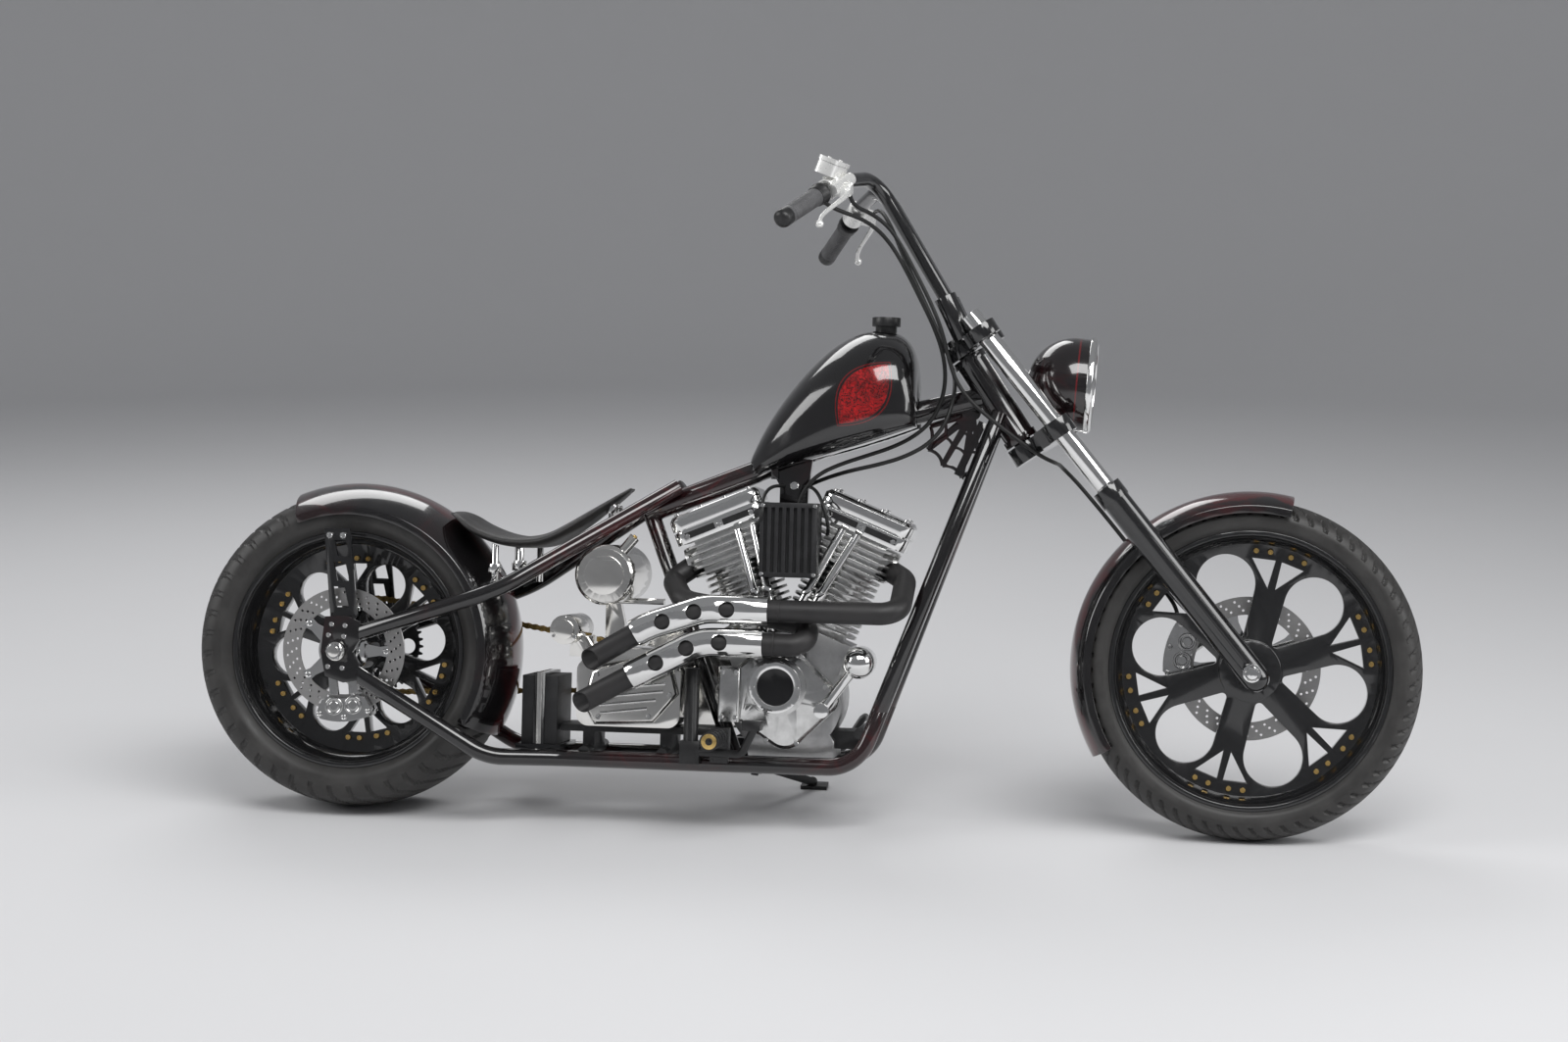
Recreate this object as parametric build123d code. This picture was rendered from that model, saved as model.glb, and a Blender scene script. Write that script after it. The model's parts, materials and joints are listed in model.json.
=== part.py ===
from build123d import *
import os
from math import asin, cos, degrees, radians, sin, sqrt

# A rigid-frame V-twin chopper, drawn upright and then leaned onto its side stand.
# Upright frame, mm: x forward from the rear axle, y to the rider's left, z up from the road.

# Overall
LEAN = 9.0
WHEELBASE = 1835.0
FIT_GAP = 0.1

# Front wheel
FRONT_TYRE_R = 343.0
FRONT_TYRE_HALF = 58.0
FRONT_CROWN_R = 80.0
FRONT_TREAD_HALF = 47.0
FRONT_FLANGE_R = 281.0
FRONT_RIM_HALF = 50.0
FRONT_BOLT_R = 241.0
FRONT_HUB_R = 61.0
FRONT_HUB_HALF = 62.0
FRONT_PETAL_R = 59.0
FRONT_PETAL_AT = 181.0
FRONT_SPOKE_ANGLE = 16.5
FRONT_DISC_R = 146.0
FRONT_DISC_Y = 66.0

# Rear wheel
REAR_TYRE_R = 328.0
REAR_TYRE_HALF = 120.0
REAR_CROWN_R = 286.0
REAR_TREAD_HALF = 104.0
REAR_FLANGE_R = 243.0
REAR_RIM_HALF = 104.0
REAR_BOLT_R = 188.0
REAR_HUB_R = 48.0
REAR_HUB_HALF = 118.0
REAR_PETAL_R = 42.0
REAR_PETAL_AT = 143.0
REAR_SPOKE_ANGLE = 38.0
REAR_DISC_R = 127.0
REAR_DISC_Y = -130.0

SPOKES = 6
FLANGE_LIP = 6.0
BEAD_DEPTH = 14.0
BARREL_WALL = 12.0
WEB_HALF = 15.0
DISC_HALF = 2.5
AXLE_R = 11.0
FRONT_AXLE_END = 162.0
FRONT_NUT_Y = 148.0
REAR_AXLE_END = 212.0
REAR_NUT_Y = 196.0

# Frame
FRAME_TUBE_R = 17.0
STAY_R = 16.0
BACKBONE_R = 23.0
STAY_Y = 175.0
RAIL_Y = 110.0
RAIL_Z = 126.0
PLATE_HALF = 7.0
NECK_BEHIND_AXLE = 525.0
NECK_ABOVE_AXLE = 534.0
NECK_RAKE = 34.0
NECK_LENGTH = 204.0
NECK_R = 32.0
STEM_R = 19.0

# Fork
FORK_RAKE = 39.5
FORK_Y = 110.0
FORK_TUBE_R = 20.5
FORK_LOWER_R = 28.0
FORK_LOWER_LENGTH = 465.0
TREE_GAP = 4.0
UPPER_TREE = 28.0
LOWER_TREE = 36.0
BAR_R = 15.0
GRIP_R = 18.5

# Engine
CRANK_X = 905.0
CRANK_Z = 259.0
HALF_V = 22.5
DECK = 150.0
BARREL_TOP = 292.0
HEAD_TOP = 366.0
ROCKER_TOP = 426.0
CASE_HALF = 74.0
PIPE_R = 22.5
PIPE_BORE_R = 20.0
PIPE_Y = -190.0
SHIELD_WALL = 2.5

# Drive
FINAL_X = 560.0
FINAL_Z = 300.0
FINAL_R = 46.0
REAR_SPROCKET_R = 100.0
CHAIN_Y = 141.0
CHAIN_HALF_HEIGHT = 6.5
CHAIN_PITCH = 15.875
CLUTCH_X = 655.0
CLUTCH_Z = 286.0
PRIMARY_Y = 156.0
PRIMARY_DEEP = 58.0

# Side stand, placed in the leaned frame whose z = 0 is the road
STAND_PIVOT = (820.0, 168.0, 80.0)
STAND_FOOT = (925.0, 300.0, 14.0)
STAND_FOLDED = (-0.985, 0.16, 0.05)
STAND_EYE_R = 17.0


def leaned_height(tyre_radius, crown_radius):
    """Axle height that puts the leaned tyre exactly on the road."""
    return tyre_radius - crown_radius + crown_radius / cos(radians(LEAN))


REAR_AXLE = (0.0, 0.0, leaned_height(REAR_TYRE_R, REAR_CROWN_R))
FRONT_AXLE = (WHEELBASE, 0.0, leaned_height(FRONT_TYRE_R, FRONT_CROWN_R))
NECK = Vector(FRONT_AXLE[0] - NECK_BEHIND_AXLE, 0, FRONT_AXLE[2] + NECK_ABOVE_AXLE)
STEER_UP = Vector(-sin(radians(NECK_RAKE)), 0, cos(radians(NECK_RAKE)))
STEER_FORWARD = Vector(cos(radians(NECK_RAKE)), 0, sin(radians(NECK_RAKE)))
FORK_UP = Vector(-sin(radians(FORK_RAKE)), 0, cos(radians(FORK_RAKE)))
BOTH_SIDES = (1, -1)
nodes = {}


def rod(start, end, radius):
    """Straight round bar between two points."""
    axis = Vector(end) - Vector(start)
    return extrude(Plane(origin=start, z_dir=axis) * Circle(radius), amount=axis.length)


def bent(points, radius, bends):
    """Round bar along a path with filleted corners."""
    path = FilletPolyline(*points, radius=bends)
    return sweep(Plane(origin=path @ 0, z_dir=path % 0) * Circle(radius), path=path)


def slab(sketch, y_left, y_right):
    """Side-view sketch given depth from the left plane to the right plane."""
    return extrude(Pos(0, y_left, 0) * (Plane.XZ * sketch), amount=y_left - y_right)


def outline(points):
    return make_face(Polyline(*points, close=True))


def block(x, y, z):
    """Box from three (low, high) pairs."""
    size = [high - low for low, high in (x, y, z)]
    centre = [(high + low) / 2 for low, high in (x, y, z)]
    return Pos(*centre) * Box(*size)


def paired(part):
    """The part with its mirror image on the other side of the bike."""
    return part + mirror(part, about=Plane.XZ)


def at_angle(radius, angle):
    return (radius * cos(radians(angle)), radius * sin(radians(angle)))


def offset_from(centre, radius, angle):
    return (centre[0] + radius * cos(radians(angle)), centre[1] + radius * sin(radians(angle)))


def on_wheel(part, axle):
    return Pos(*axle) * part


def ring_sector(profile, start, end):
    """Profile in (radius, y) swept about the axle between two side-view angles."""
    return Rot(Y=-end) * revolve(profile, Axis.Y, end - start)


def steer_point(along, forward=0.0, y=0.0):
    point = NECK + STEER_UP * along + STEER_FORWARD * forward
    return (point.X, y, point.Z)


def fork_point(length, y=FORK_Y):
    """Point on a fork leg's centreline, measured up from the axle."""
    point = Vector(*FRONT_AXLE) + FORK_UP * length
    return (point.X, y, point.Z)


def fork_length(along):
    """Length up the fork where it crosses a plane square to the steering axis."""
    reach = (Vector(*FRONT_AXLE) - NECK).dot(STEER_UP)
    return (along - reach) / FORK_UP.dot(STEER_UP)


# Wheels
def rim(flange_r, half, hub_r, hub_half, bolt_r, petal_r, petal_at, spoke_angle):
    """Barrel, hub and six trident spokes about the y axis."""
    seat_r = flange_r - BEAD_DEPTH
    barrel_r = seat_r - BARREL_WALL
    inner = half - 24
    section = outline([(flange_r, half), (flange_r, half - FLANGE_LIP), (seat_r, half - FLANGE_LIP),
                       (seat_r, FLANGE_LIP - half), (flange_r, FLANGE_LIP - half), (flange_r, -half),
                       (flange_r - 9, -half), (barrel_r, -inner), (barrel_r, inner), (flange_r - 9, half)])
    wheel = revolve(section, Axis.Y)
    windows = []
    tip_at = hub_r + 16
    tip_r = 9
    lean_in = degrees(asin((petal_r - tip_r) / (petal_at - tip_at)))
    for count in range(SPOKES):
        base = spoke_angle + count * 360 / SPOKES
        middle = base + 180 / SPOKES
        corners = []
        for at, radius, side in ((tip_at, tip_r, 1), (petal_at, petal_r, 1), (petal_at, petal_r, -1), (tip_at, tip_r, -1)):
            corners.append(offset_from(at_angle(at, middle), radius, middle + side * (90 + lean_in)))
        near_a, far_a, far_b, near_b = corners
        windows.append(make_face([Line(near_a, far_a),
                                  ThreePointArc(far_a, at_angle(petal_at + petal_r, middle), far_b),
                                  Line(far_b, near_b),
                                  ThreePointArc(near_b, at_angle(tip_at - tip_r, middle), near_a)]))
        for side in BOTH_SIDES:
            windows.append(outline([at_angle(bolt_r * 0.94, base + side * 1.6),
                                    at_angle(bolt_r * 0.94, base + side * 13.5),
                                    at_angle(bolt_r * 0.70, base + side * 2.6)]))
    web = Circle(barrel_r + 1) - windows
    wheel += slab(web, WEB_HALF, -WEB_HALF)
    wheel += slab(Circle(hub_r), hub_half, -hub_half)
    return wheel - slab(Circle(AXLE_R + FIT_GAP), hub_half + 1, -hub_half - 1)


def tyre(tyre_r, half, crown_r, tread_half, flange_r, rim_half):
    """Solid ring with round sidewalls and crown, seated on the rim."""
    seat_r = flange_r - BEAD_DEPTH + FIT_GAP
    bead = rim_half - FLANGE_LIP - FIT_GAP
    over = flange_r + 0.5
    shoulder_r = tyre_r - crown_r + sqrt(crown_r ** 2 - tread_half ** 2)
    wall_r = (over + shoulder_r) / 2
    edges = [Line((seat_r, -bead), (over, -bead)), Line((over, -bead), (over, 1 - rim_half)),
             ThreePointArc((over, 1 - rim_half), (wall_r, -half), (shoulder_r, -tread_half)),
             ThreePointArc((shoulder_r, -tread_half), (tyre_r, 0), (shoulder_r, tread_half)),
             ThreePointArc((shoulder_r, tread_half), (wall_r, half), (over, rim_half - 1)),
             Line((over, rim_half - 1), (over, bead)), Line((over, bead), (seat_r, bead)),
             Line((seat_r, bead), (seat_r, -bead))]
    return revolve(make_face(edges), Axis.Y)


def disc(radius, y, hub_half):
    """Brake disc on a carrier that reaches back to the hub's end."""
    side = 1 if y > 0 else -1
    ring = Circle(radius) - Circle(radius - 36)
    carrier = Circle(52)
    reach_r = radius - 32
    carrier += [Rot(Z=count * 72) * Pos((reach_r + 34) / 2, 0) * Rectangle(reach_r - 34, 26) for count in range(5)]
    plate = slab(ring + carrier, y + DISC_HALF, y - DISC_HALF)
    reach = sorted((side * hub_half, y))
    plate += slab(Circle(44), reach[1], reach[0])
    return plate - slab(Circle(AXLE_R + FIT_GAP), max(reach) + 9, min(reach) - 9)


nodes["front_rim"] = on_wheel(rim(FRONT_FLANGE_R, FRONT_RIM_HALF, FRONT_HUB_R, FRONT_HUB_HALF, FRONT_BOLT_R,
                                  FRONT_PETAL_R, FRONT_PETAL_AT, FRONT_SPOKE_ANGLE), FRONT_AXLE)
nodes["front_tyre"] = on_wheel(tyre(FRONT_TYRE_R, FRONT_TYRE_HALF, FRONT_CROWN_R, FRONT_TREAD_HALF,
                                    FRONT_FLANGE_R, FRONT_RIM_HALF), FRONT_AXLE)
nodes["front_disc"] = on_wheel(disc(FRONT_DISC_R, FRONT_DISC_Y, FRONT_HUB_HALF), FRONT_AXLE)
nodes["rear_rim"] = on_wheel(rim(REAR_FLANGE_R, REAR_RIM_HALF, REAR_HUB_R, REAR_HUB_HALF, REAR_BOLT_R,
                                 REAR_PETAL_R, REAR_PETAL_AT, REAR_SPOKE_ANGLE), REAR_AXLE)
nodes["rear_tyre"] = on_wheel(tyre(REAR_TYRE_R, REAR_TYRE_HALF, REAR_CROWN_R, REAR_TREAD_HALF,
                                   REAR_FLANGE_R, REAR_RIM_HALF), REAR_AXLE)
nodes["rear_disc"] = on_wheel(disc(REAR_DISC_R, REAR_DISC_Y, REAR_HUB_HALF), REAR_AXLE)

TEETH = 39
FINAL_TEETH = 18
ROLLER_R = 5.0
ROLLER_SEAT = 0.3
REAR_ROOT = ROLLER_R + 4.0


def toothed(radius, count, root):
    """Sprocket outline with plain pointed teeth cut to a root depth."""
    rim_points = []
    for tooth in range(count):
        pitch = 360 / count
        for share, level in ((-0.5, -root), (-0.28, -root), (-0.12, -1), (0.12, -1), (0.28, -root)):
            rim_points.append(at_angle(radius + level, (tooth + share) * pitch))
    return outline(rim_points)


sprocket_face = toothed(REAR_SPROCKET_R, TEETH, REAR_ROOT) - [Pos(*at_angle(66, count * 72)) * Circle(16) for count in range(5)]
rear_sprocket = slab(sprocket_face, CHAIN_Y + 3, CHAIN_Y - 3) + slab(Circle(44), CHAIN_Y, REAR_HUB_HALF)
rear_sprocket -= slab(Circle(AXLE_R + FIT_GAP), CHAIN_Y + 9, REAR_HUB_HALF - 1)
nodes["rear_sprocket"] = on_wheel(rear_sprocket, REAR_AXLE)

# Rigid frame
neck_bottom = steer_point(-NECK_LENGTH / 2)
neck_top = steer_point(NECK_LENGTH / 2)
neck_full = rod(neck_bottom, neck_top, NECK_R)
neck = neck_full - rod(steer_point(-NECK_LENGTH), steer_point(NECK_LENGTH), STEM_R + FIT_GAP)
for end in BOTH_SIDES:
    cup = rod(steer_point(end * (NECK_LENGTH / 2 - 14)), steer_point(end * NECK_LENGTH / 2), NECK_R + 4)
    neck += cup - rod(steer_point(-NECK_LENGTH), steer_point(NECK_LENGTH), STEM_R + FIT_GAP)

neck_hole = neck + rod(neck_bottom, neck_top, NECK_R)
backbone_end = (NECK.X - 10, 0, NECK.Z + 8)
BACKBONE_PATH = [(600, 0, 628), (1120, 0, 838), backbone_end]
backbone = bent(BACKBONE_PATH, BACKBONE_R, 300)
nodes["backbone"] = backbone - neck_hole

cradle_top = Vector(NECK.X + 12, 24, NECK.Z - 28)
cradle_bend = Vector(1057, RAIL_Y, RAIL_Z)
cradle = bent([tuple(cradle_top), tuple(cradle_bend), (440, RAIL_Y + 2, RAIL_Z), (310, 165, RAIL_Z + 2),
               (36, STAY_Y, 288)], FRAME_TUBE_R, [85, 120, 110])
axle_plate = slab(outline([(-27, 401), (18, 404), (46, 392), (46, 356), (32, 330), (46, 306), (46, 274),
                           (14, 268), (-24, 280), (-34, 330)]), STAY_Y + PLATE_HALF, STAY_Y - PLATE_HALF)
axle_plate -= rod((0, 0, REAR_AXLE[2]), (0, 300, REAR_AXLE[2]), AXLE_R + FIT_GAP)
plate_zone = block((-100, 46), (100, 250), (150, 500))
nodes["down_tubes"] = paired((cradle & block((1000, 3000), (0, 300), (240, 3000))) - neck_hole)
nodes["lower_rails"] = paired(cradle & block((330, 3000), (0, 300), (0, 240)))
nodes["lower_stays"] = paired((cradle & block((0, 330), (0, 300), (0, 500))) - plate_zone + axle_plate)

stay = bent([(20, STAY_Y, 362), (325, 172, 464), (668, 30, 684)], STAY_R, 260)
nodes["upper_stays"] = paired((stay - plate_zone) - backbone)
cross_member = rod((796, -RAIL_Y, RAIL_Z + 2), (796, RAIL_Y, RAIL_Z + 2), FRAME_TUBE_R)
seat_post = rod((603, 0, 640), (792, 0, 140), FRAME_TUBE_R) - backbone - cross_member
cross_member = cross_member - nodes["lower_rails"]
nodes["seat_post"] = seat_post + cross_member

web_hub = (NECK.X - 44, NECK.Z - 28)
bridge_at = cradle_top + (cradle_bend - cradle_top) * 0.152
# Web ribs: (ahead, above) of each tip from the hub; the last one runs through the bridge
WEB_TIPS = ((-86, -30), (-90, -78), (-60, -110), (-20, -134),
            ((bridge_at.X - web_hub[0]) * 1.16, (bridge_at.Z - web_hub[1]) * 1.16))
web_ribs = [(web_hub[0] + ahead, web_hub[1] + above) for ahead, above in WEB_TIPS]
web_rows = ((1.0, 7.0), (0.66, 6.0), (0.38, 6.0))
web = Pos(*web_hub) * Circle(16)
for tip in web_ribs:
    web += make_face(Polyline((web_hub[0] - 6, web_hub[1] + 6), (web_hub[0] + 6, web_hub[1] - 6),
                              (tip[0] + 4, tip[1] - 4), (tip[0] - 4, tip[1] + 4), close=True))
for share, width in web_rows:
    ring = [(web_hub[0] + share * (x - web_hub[0]), web_hub[1] + share * (z - web_hub[1])) for x, z in web_ribs]
    for (x0, z0), (x1, z1) in zip(ring, ring[1:]):
        sag = ((x0 + x1) / 2 * 0.93 + web_hub[0] * 0.07, (z0 + z1) / 2 * 0.93 + web_hub[1] * 0.07)
        strand = ThreePointArc((x0, z0), sag, (x1, z1))
        web += trace(strand, width)
web_plate = slab(web, 5, -5) + slab(Pos(web_hub[0] - 4, web_hub[1] - 74) * Rot(Z=66) * Rectangle(120, 16), 5, -5)
down_bridge = rod((bridge_at.X, -bridge_at.Y, bridge_at.Z), tuple(bridge_at), 9)
web_plate = web_plate - backbone - neck_hole
nodes["backbone"] = neck + nodes["backbone"] + web_plate + down_bridge - nodes["down_tubes"]

# Fuel tank: (x, underside, top, half width) of each section
TANK_SECTIONS = ((806, 700, 728, 14), (858, 720, 834, 64), (930, 742, 930, 100), (1010, 766, 996, 124),
                 (1078, 788, 1014, 132), (1128, 806, 996, 122), (1154, 816, 930, 92))
tank_faces = []
for x, low, high, half in TANK_SECTIONS:
    spring = high - half
    corner = min(half, spring - low) * 0.6
    flat = half - corner
    arch = sqrt(0.5)
    edges = [Line((-flat, low), (flat, low)),
             ThreePointArc((flat, low), (flat + corner * arch, low + corner * (1 - arch)), (half, low + corner)),
             Line((half, low + corner), (half, spring)),
             ThreePointArc((half, spring), (0, high), (-half, spring)),
             Line((-half, spring), (-half, low + corner)),
             ThreePointArc((-half, low + corner), (-flat - corner * arch, low + corner * (1 - arch)), (-flat, low))]
    face = make_face(edges)
    tank_faces.append(Plane(origin=(x, 0, 0), x_dir=(0, 1, 0), z_dir=(1, 0, 0)) * face)
tank = loft(tank_faces)
tunnel = bent(BACKBONE_PATH, BACKBONE_R + 6, 300)
tunnel_drop = slab(outline([(760, 692), (1120, 838), (NECK.X - 10, NECK.Z + 8), (NECK.X - 10, 700), (760, 560)]),
                   BACKBONE_R + 6, -BACKBONE_R - 6)
nodes["fuel_tank"] = tank - tunnel - tunnel_drop
cap_post = rod((1084, 0, 1008), (1084, 0, 1026), 22)
nodes["fuel_cap"] = cap_post + rod((1084, 0, 1022), (1084, 0, 1040), 29) - nodes["fuel_tank"]
tank_mounts = block((860, 874), (-40, 40), (704, 740)) + block((1126, 1140), (-40, 40), (812, 846))
TOP_MOUNT = ((862, 716), (942, 748), (934, 690), (934, 640), (876, 640), (876, 690))
top_mount = slab(outline(TOP_MOUNT), 20, -20) - backbone
nodes["backbone"] = nodes["backbone"] + tank_mounts + top_mount - nodes["fuel_tank"]

# Seat: side curve given a waisted plan
SEAT_TOP = ((214, 627), (262, 591), (332, 573), (398, 578), (476, 624), (562, 678))
SEAT_UNDER = ((556, 662), (482, 600), (402, 551), (330, 548), (252, 572), (206, 613))
SEAT_PLAN = ((206, 104), (240, 126), (300, 132), (372, 116), (452, 74), (520, 44), (566, 30))
seat_side = slab(outline(SEAT_TOP + SEAT_UNDER), 150, -150)
seat_plan = outline(SEAT_PLAN + tuple((x, -y) for x, y in reversed(SEAT_PLAN)))
nodes["seat"] = seat_side & extrude(Pos(0, 0, 500) * seat_plan, amount=250)
# Studs: (x, y, foot, top, arm height, arm end y, arm end z)
SEAT_STUDS = ((306, 112, 470, 560, 490, 166, 458), (356, 100, 478, 562, 500, 146, 486),
              (530, 26, 596, 650, 612, 66, 608))
STUD_R = 7.0
ARM_R = 5.0
COLLAR_R = 13.0
seat_studs = Part()
for x, y, foot, top, arm_z, end_y, end_z in SEAT_STUDS:
    seat_studs += rod((x, y, foot), (x, y, top), STUD_R) + rod((x, y, foot + 30), (x, y, foot + 46), COLLAR_R)
    seat_studs += rod((x, y, arm_z), (x, end_y, end_z), ARM_R)
nodes["seat_mounts"] = paired(seat_studs) - nodes["seat"] - nodes["upper_stays"]

# Fenders
FENDER_WALL = 4.0


def fender(inner_r, half, skirt, start, end):
    """Rounded U section about the wheel."""
    outer_r = inner_r + FENDER_WALL
    inside = half - FENDER_WALL
    rise = 0.35 * half
    edges = [Line((inner_r - skirt, -half), (inner_r - rise, -half)),
             ThreePointArc((inner_r - rise, -half), (outer_r, 0), (inner_r - rise, half)),
             Line((inner_r - rise, half), (inner_r - skirt, half)),
             Line((inner_r - skirt, half), (inner_r - skirt, inside)),
             Line((inner_r - skirt, inside), (inner_r - rise, inside)),
             ThreePointArc((inner_r - rise, inside), (inner_r, 0), (inner_r - rise, -inside)),
             Line((inner_r - rise, -inside), (inner_r - skirt, -inside)),
             Line((inner_r - skirt, -inside), (inner_r - skirt, -half))]
    return ring_sector(make_face(edges), start, end)


nodes["rear_fender"] = on_wheel(fender(REAR_TYRE_R + 11, 131, 62, -30, 112), REAR_AXLE)
strut = slab(outline([(-40, 580), (14, 580), (34, 402), (-22, 400)]), 159, 152)
for low, high in ((420, 462), (474, 512), (524, 556)):
    strut -= slab(outline([(-10, low), (16, low), (6, high), (-18, high)]), 165, 140)
strut += block((-18, 30), (152, 168), (384, 402))
strut += rod((-26, 129, 566), (-26, 164, 566), 7) + rod((2, 129, 566), (2, 164, 566), 7)
nodes["fender_struts"] = paired(strut - axle_plate) - nodes["rear_fender"]

front_fender = on_wheel(fender(FRONT_TYRE_R + 13, 71, 40, 77, 211), FRONT_AXLE)
nodes["front_fender"] = front_fender

# Fork: trees, tubes, lowers
tree_span = {"upper": (NECK_LENGTH / 2 + TREE_GAP, UPPER_TREE), "lower": (-NECK_LENGTH / 2 - TREE_GAP, -LOWER_TREE)}
trees = {}
for name, (start, thick) in tree_span.items():
    mid_length = fork_length(start + thick / 2)
    forward = (Vector(*fork_point(mid_length)) - NECK).dot(STEER_FORWARD)
    shape = Circle(NECK_R + 6) + Pos(forward * 0.62, 0) * Rectangle(40, 2 * FORK_Y)
    shape += Pos(forward * 0.4, 0) * Rectangle(forward * 0.8, 2 * NECK_R + 8)
    for side in BOTH_SIDES:
        shape += Pos(forward, side * FORK_Y) * Circle(FORK_TUBE_R + 11)
    plane = Plane(origin=steer_point(start), x_dir=STEER_FORWARD, z_dir=STEER_UP)
    trees[name] = extrude(plane * shape, amount=thick)
fork_bores = Part()
for side in BOTH_SIDES:
    fork_bores += rod(fork_point(500, side * FORK_Y), fork_point(1000, side * FORK_Y), FORK_TUBE_R + FIT_GAP)
stem = rod(steer_point(-NECK_LENGTH / 2 - 30), steer_point(NECK_LENGTH / 2 + UPPER_TREE + 10), STEM_R)
stem_nut = rod(steer_point(NECK_LENGTH / 2 + UPPER_TREE), steer_point(NECK_LENGTH / 2 + UPPER_TREE + 18), 24)
upper_tree = trees["upper"] + stem_nut - fork_bores - stem
lower_tree = trees["lower"] + stem - fork_bores

tube_top = fork_length(NECK_LENGTH / 2 + UPPER_TREE) + 34
nodes["fork_tubes"] = paired(rod(fork_point(FORK_LOWER_LENGTH), fork_point(tube_top), FORK_TUBE_R))
lower_leg = rod(fork_point(-14), fork_point(FORK_LOWER_LENGTH), FORK_LOWER_R)
lower_leg += rod(fork_point(FORK_LOWER_LENGTH - 34), fork_point(FORK_LOWER_LENGTH), FORK_LOWER_R + 3)
lower_leg += Pos(*fork_point(-14)) * Sphere(FORK_LOWER_R)
axle_bore = rod((FRONT_AXLE[0], -300, FRONT_AXLE[2]), (FRONT_AXLE[0], 300, FRONT_AXLE[2]), AXLE_R + FIT_GAP)
lower_leg -= axle_bore
for length in (FRONT_TYRE_R - 20,):
    tab = rod(fork_point(length, FORK_Y - 42), fork_point(length, FORK_Y), 8)
    lower_leg += tab
nodes["fork_lowers"] = paired(lower_leg) - nodes["front_fender"]

front_axle = rod((FRONT_AXLE[0], -FRONT_AXLE_END, FRONT_AXLE[2]), (FRONT_AXLE[0], FRONT_AXLE_END, FRONT_AXLE[2]), AXLE_R)
for side in BOTH_SIDES:
    front_axle += rod((FRONT_AXLE[0], side * 138.5, FRONT_AXLE[2]), (FRONT_AXLE[0], side * FRONT_NUT_Y, FRONT_AXLE[2]), 18)
nodes["front_axle"] = front_axle
rear_axle = rod((0, -REAR_AXLE_END, REAR_AXLE[2]), (0, REAR_AXLE_END, REAR_AXLE[2]), AXLE_R)
for side in BOTH_SIDES:
    rear_axle += rod((0, side * (STAY_Y + PLATE_HALF), REAR_AXLE[2]), (0, side * REAR_NUT_Y, REAR_AXLE[2]), 19)
    rear_axle += rod((0, side * 150, REAR_AXLE[2]), (0, side * (STAY_Y - PLATE_HALF), REAR_AXLE[2]), 18)
nodes["rear_axle"] = rear_axle

# Front caliper behind the left leg
caliper_at = Vector(*FRONT_AXLE) + Vector(-138, 0, 34)
front_caliper = Pos(caliper_at.X, 0, caliper_at.Z) * Rot(Y=12) * block((-34, 34), (44, 92), (-56, 56))
front_caliper -= on_wheel(slab(Circle(FRONT_DISC_R + 6), FRONT_DISC_Y + 8, FRONT_DISC_Y - 8), FRONT_AXLE)
front_caliper += rod((caliper_at.X + 20, 90, caliper_at.Z), (FRONT_AXLE[0] - 66, 100, FRONT_AXLE[2] + 70), 10)
nodes["front_caliper"] = front_caliper - nodes["fork_lowers"]

# Rear caliper under the axle on the right
rear_caliper = block((-50, 72), (-158, -104), (186, 250))
rear_caliper -= on_wheel(slab(Circle(REAR_DISC_R + 6), REAR_DISC_Y + 8, REAR_DISC_Y - 8), REAR_AXLE)
hanger = slab(outline([(-18, 245), (40, 245), (24, 352), (-18, 352)]), -146, -158)
hanger += block((4, 28), (-STAY_Y + PLATE_HALF, -150), (272, 300))
hanger -= rod((0, -300, REAR_AXLE[2]), (0, 0, REAR_AXLE[2]), 18 + FIT_GAP)
nodes["rear_caliper"] = rear_caliper + hanger - nodes["lower_stays"]

# Handlebar and controls
riser_foot = NECK_LENGTH / 2 + TREE_GAP + UPPER_TREE
riser_base = steer_point(riser_foot, 16, 62)
# Bar: (ahead of the neck, left, above the neck) of the riser's tip, the bends and the end
BAR_ROUTE = ((-104, 66, 202), (-250, 76, 438), (-308, 228, 412), (-398, 406, 318))
BAR_POINTS = [(NECK.X + ahead, left, NECK.Z + above) for ahead, left, above in BAR_ROUTE]
riser_tip = BAR_POINTS[0]
bar_bend = Vector(*BAR_POINTS[2])
bar_end = Vector(*BAR_POINTS[3])
bar_path = FilletPolyline(*BAR_POINTS, radius=[62, 62])
bar_side = sweep(Plane(origin=bar_path @ 0, z_dir=bar_path % 0) * Circle(BAR_R), path=bar_path)
grip_axis = (bar_end - bar_bend).normalized()
grip_start = bar_bend + grip_axis * 68
grip_end = bar_end + grip_axis * 6
grip = rod(grip_start, grip_end, GRIP_R)
grip += rod(grip_start, (grip_start + grip_axis * 6), GRIP_R + 4)
nodes["grips"] = paired(grip)
nodes["handlebar"] = paired(bar_side) - nodes["grips"]
riser = rod(riser_base, riser_tip, 23)
nodes["handlebar"] = nodes["handlebar"] + (paired(riser) - upper_tree - nodes["fork_tubes"])

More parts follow.
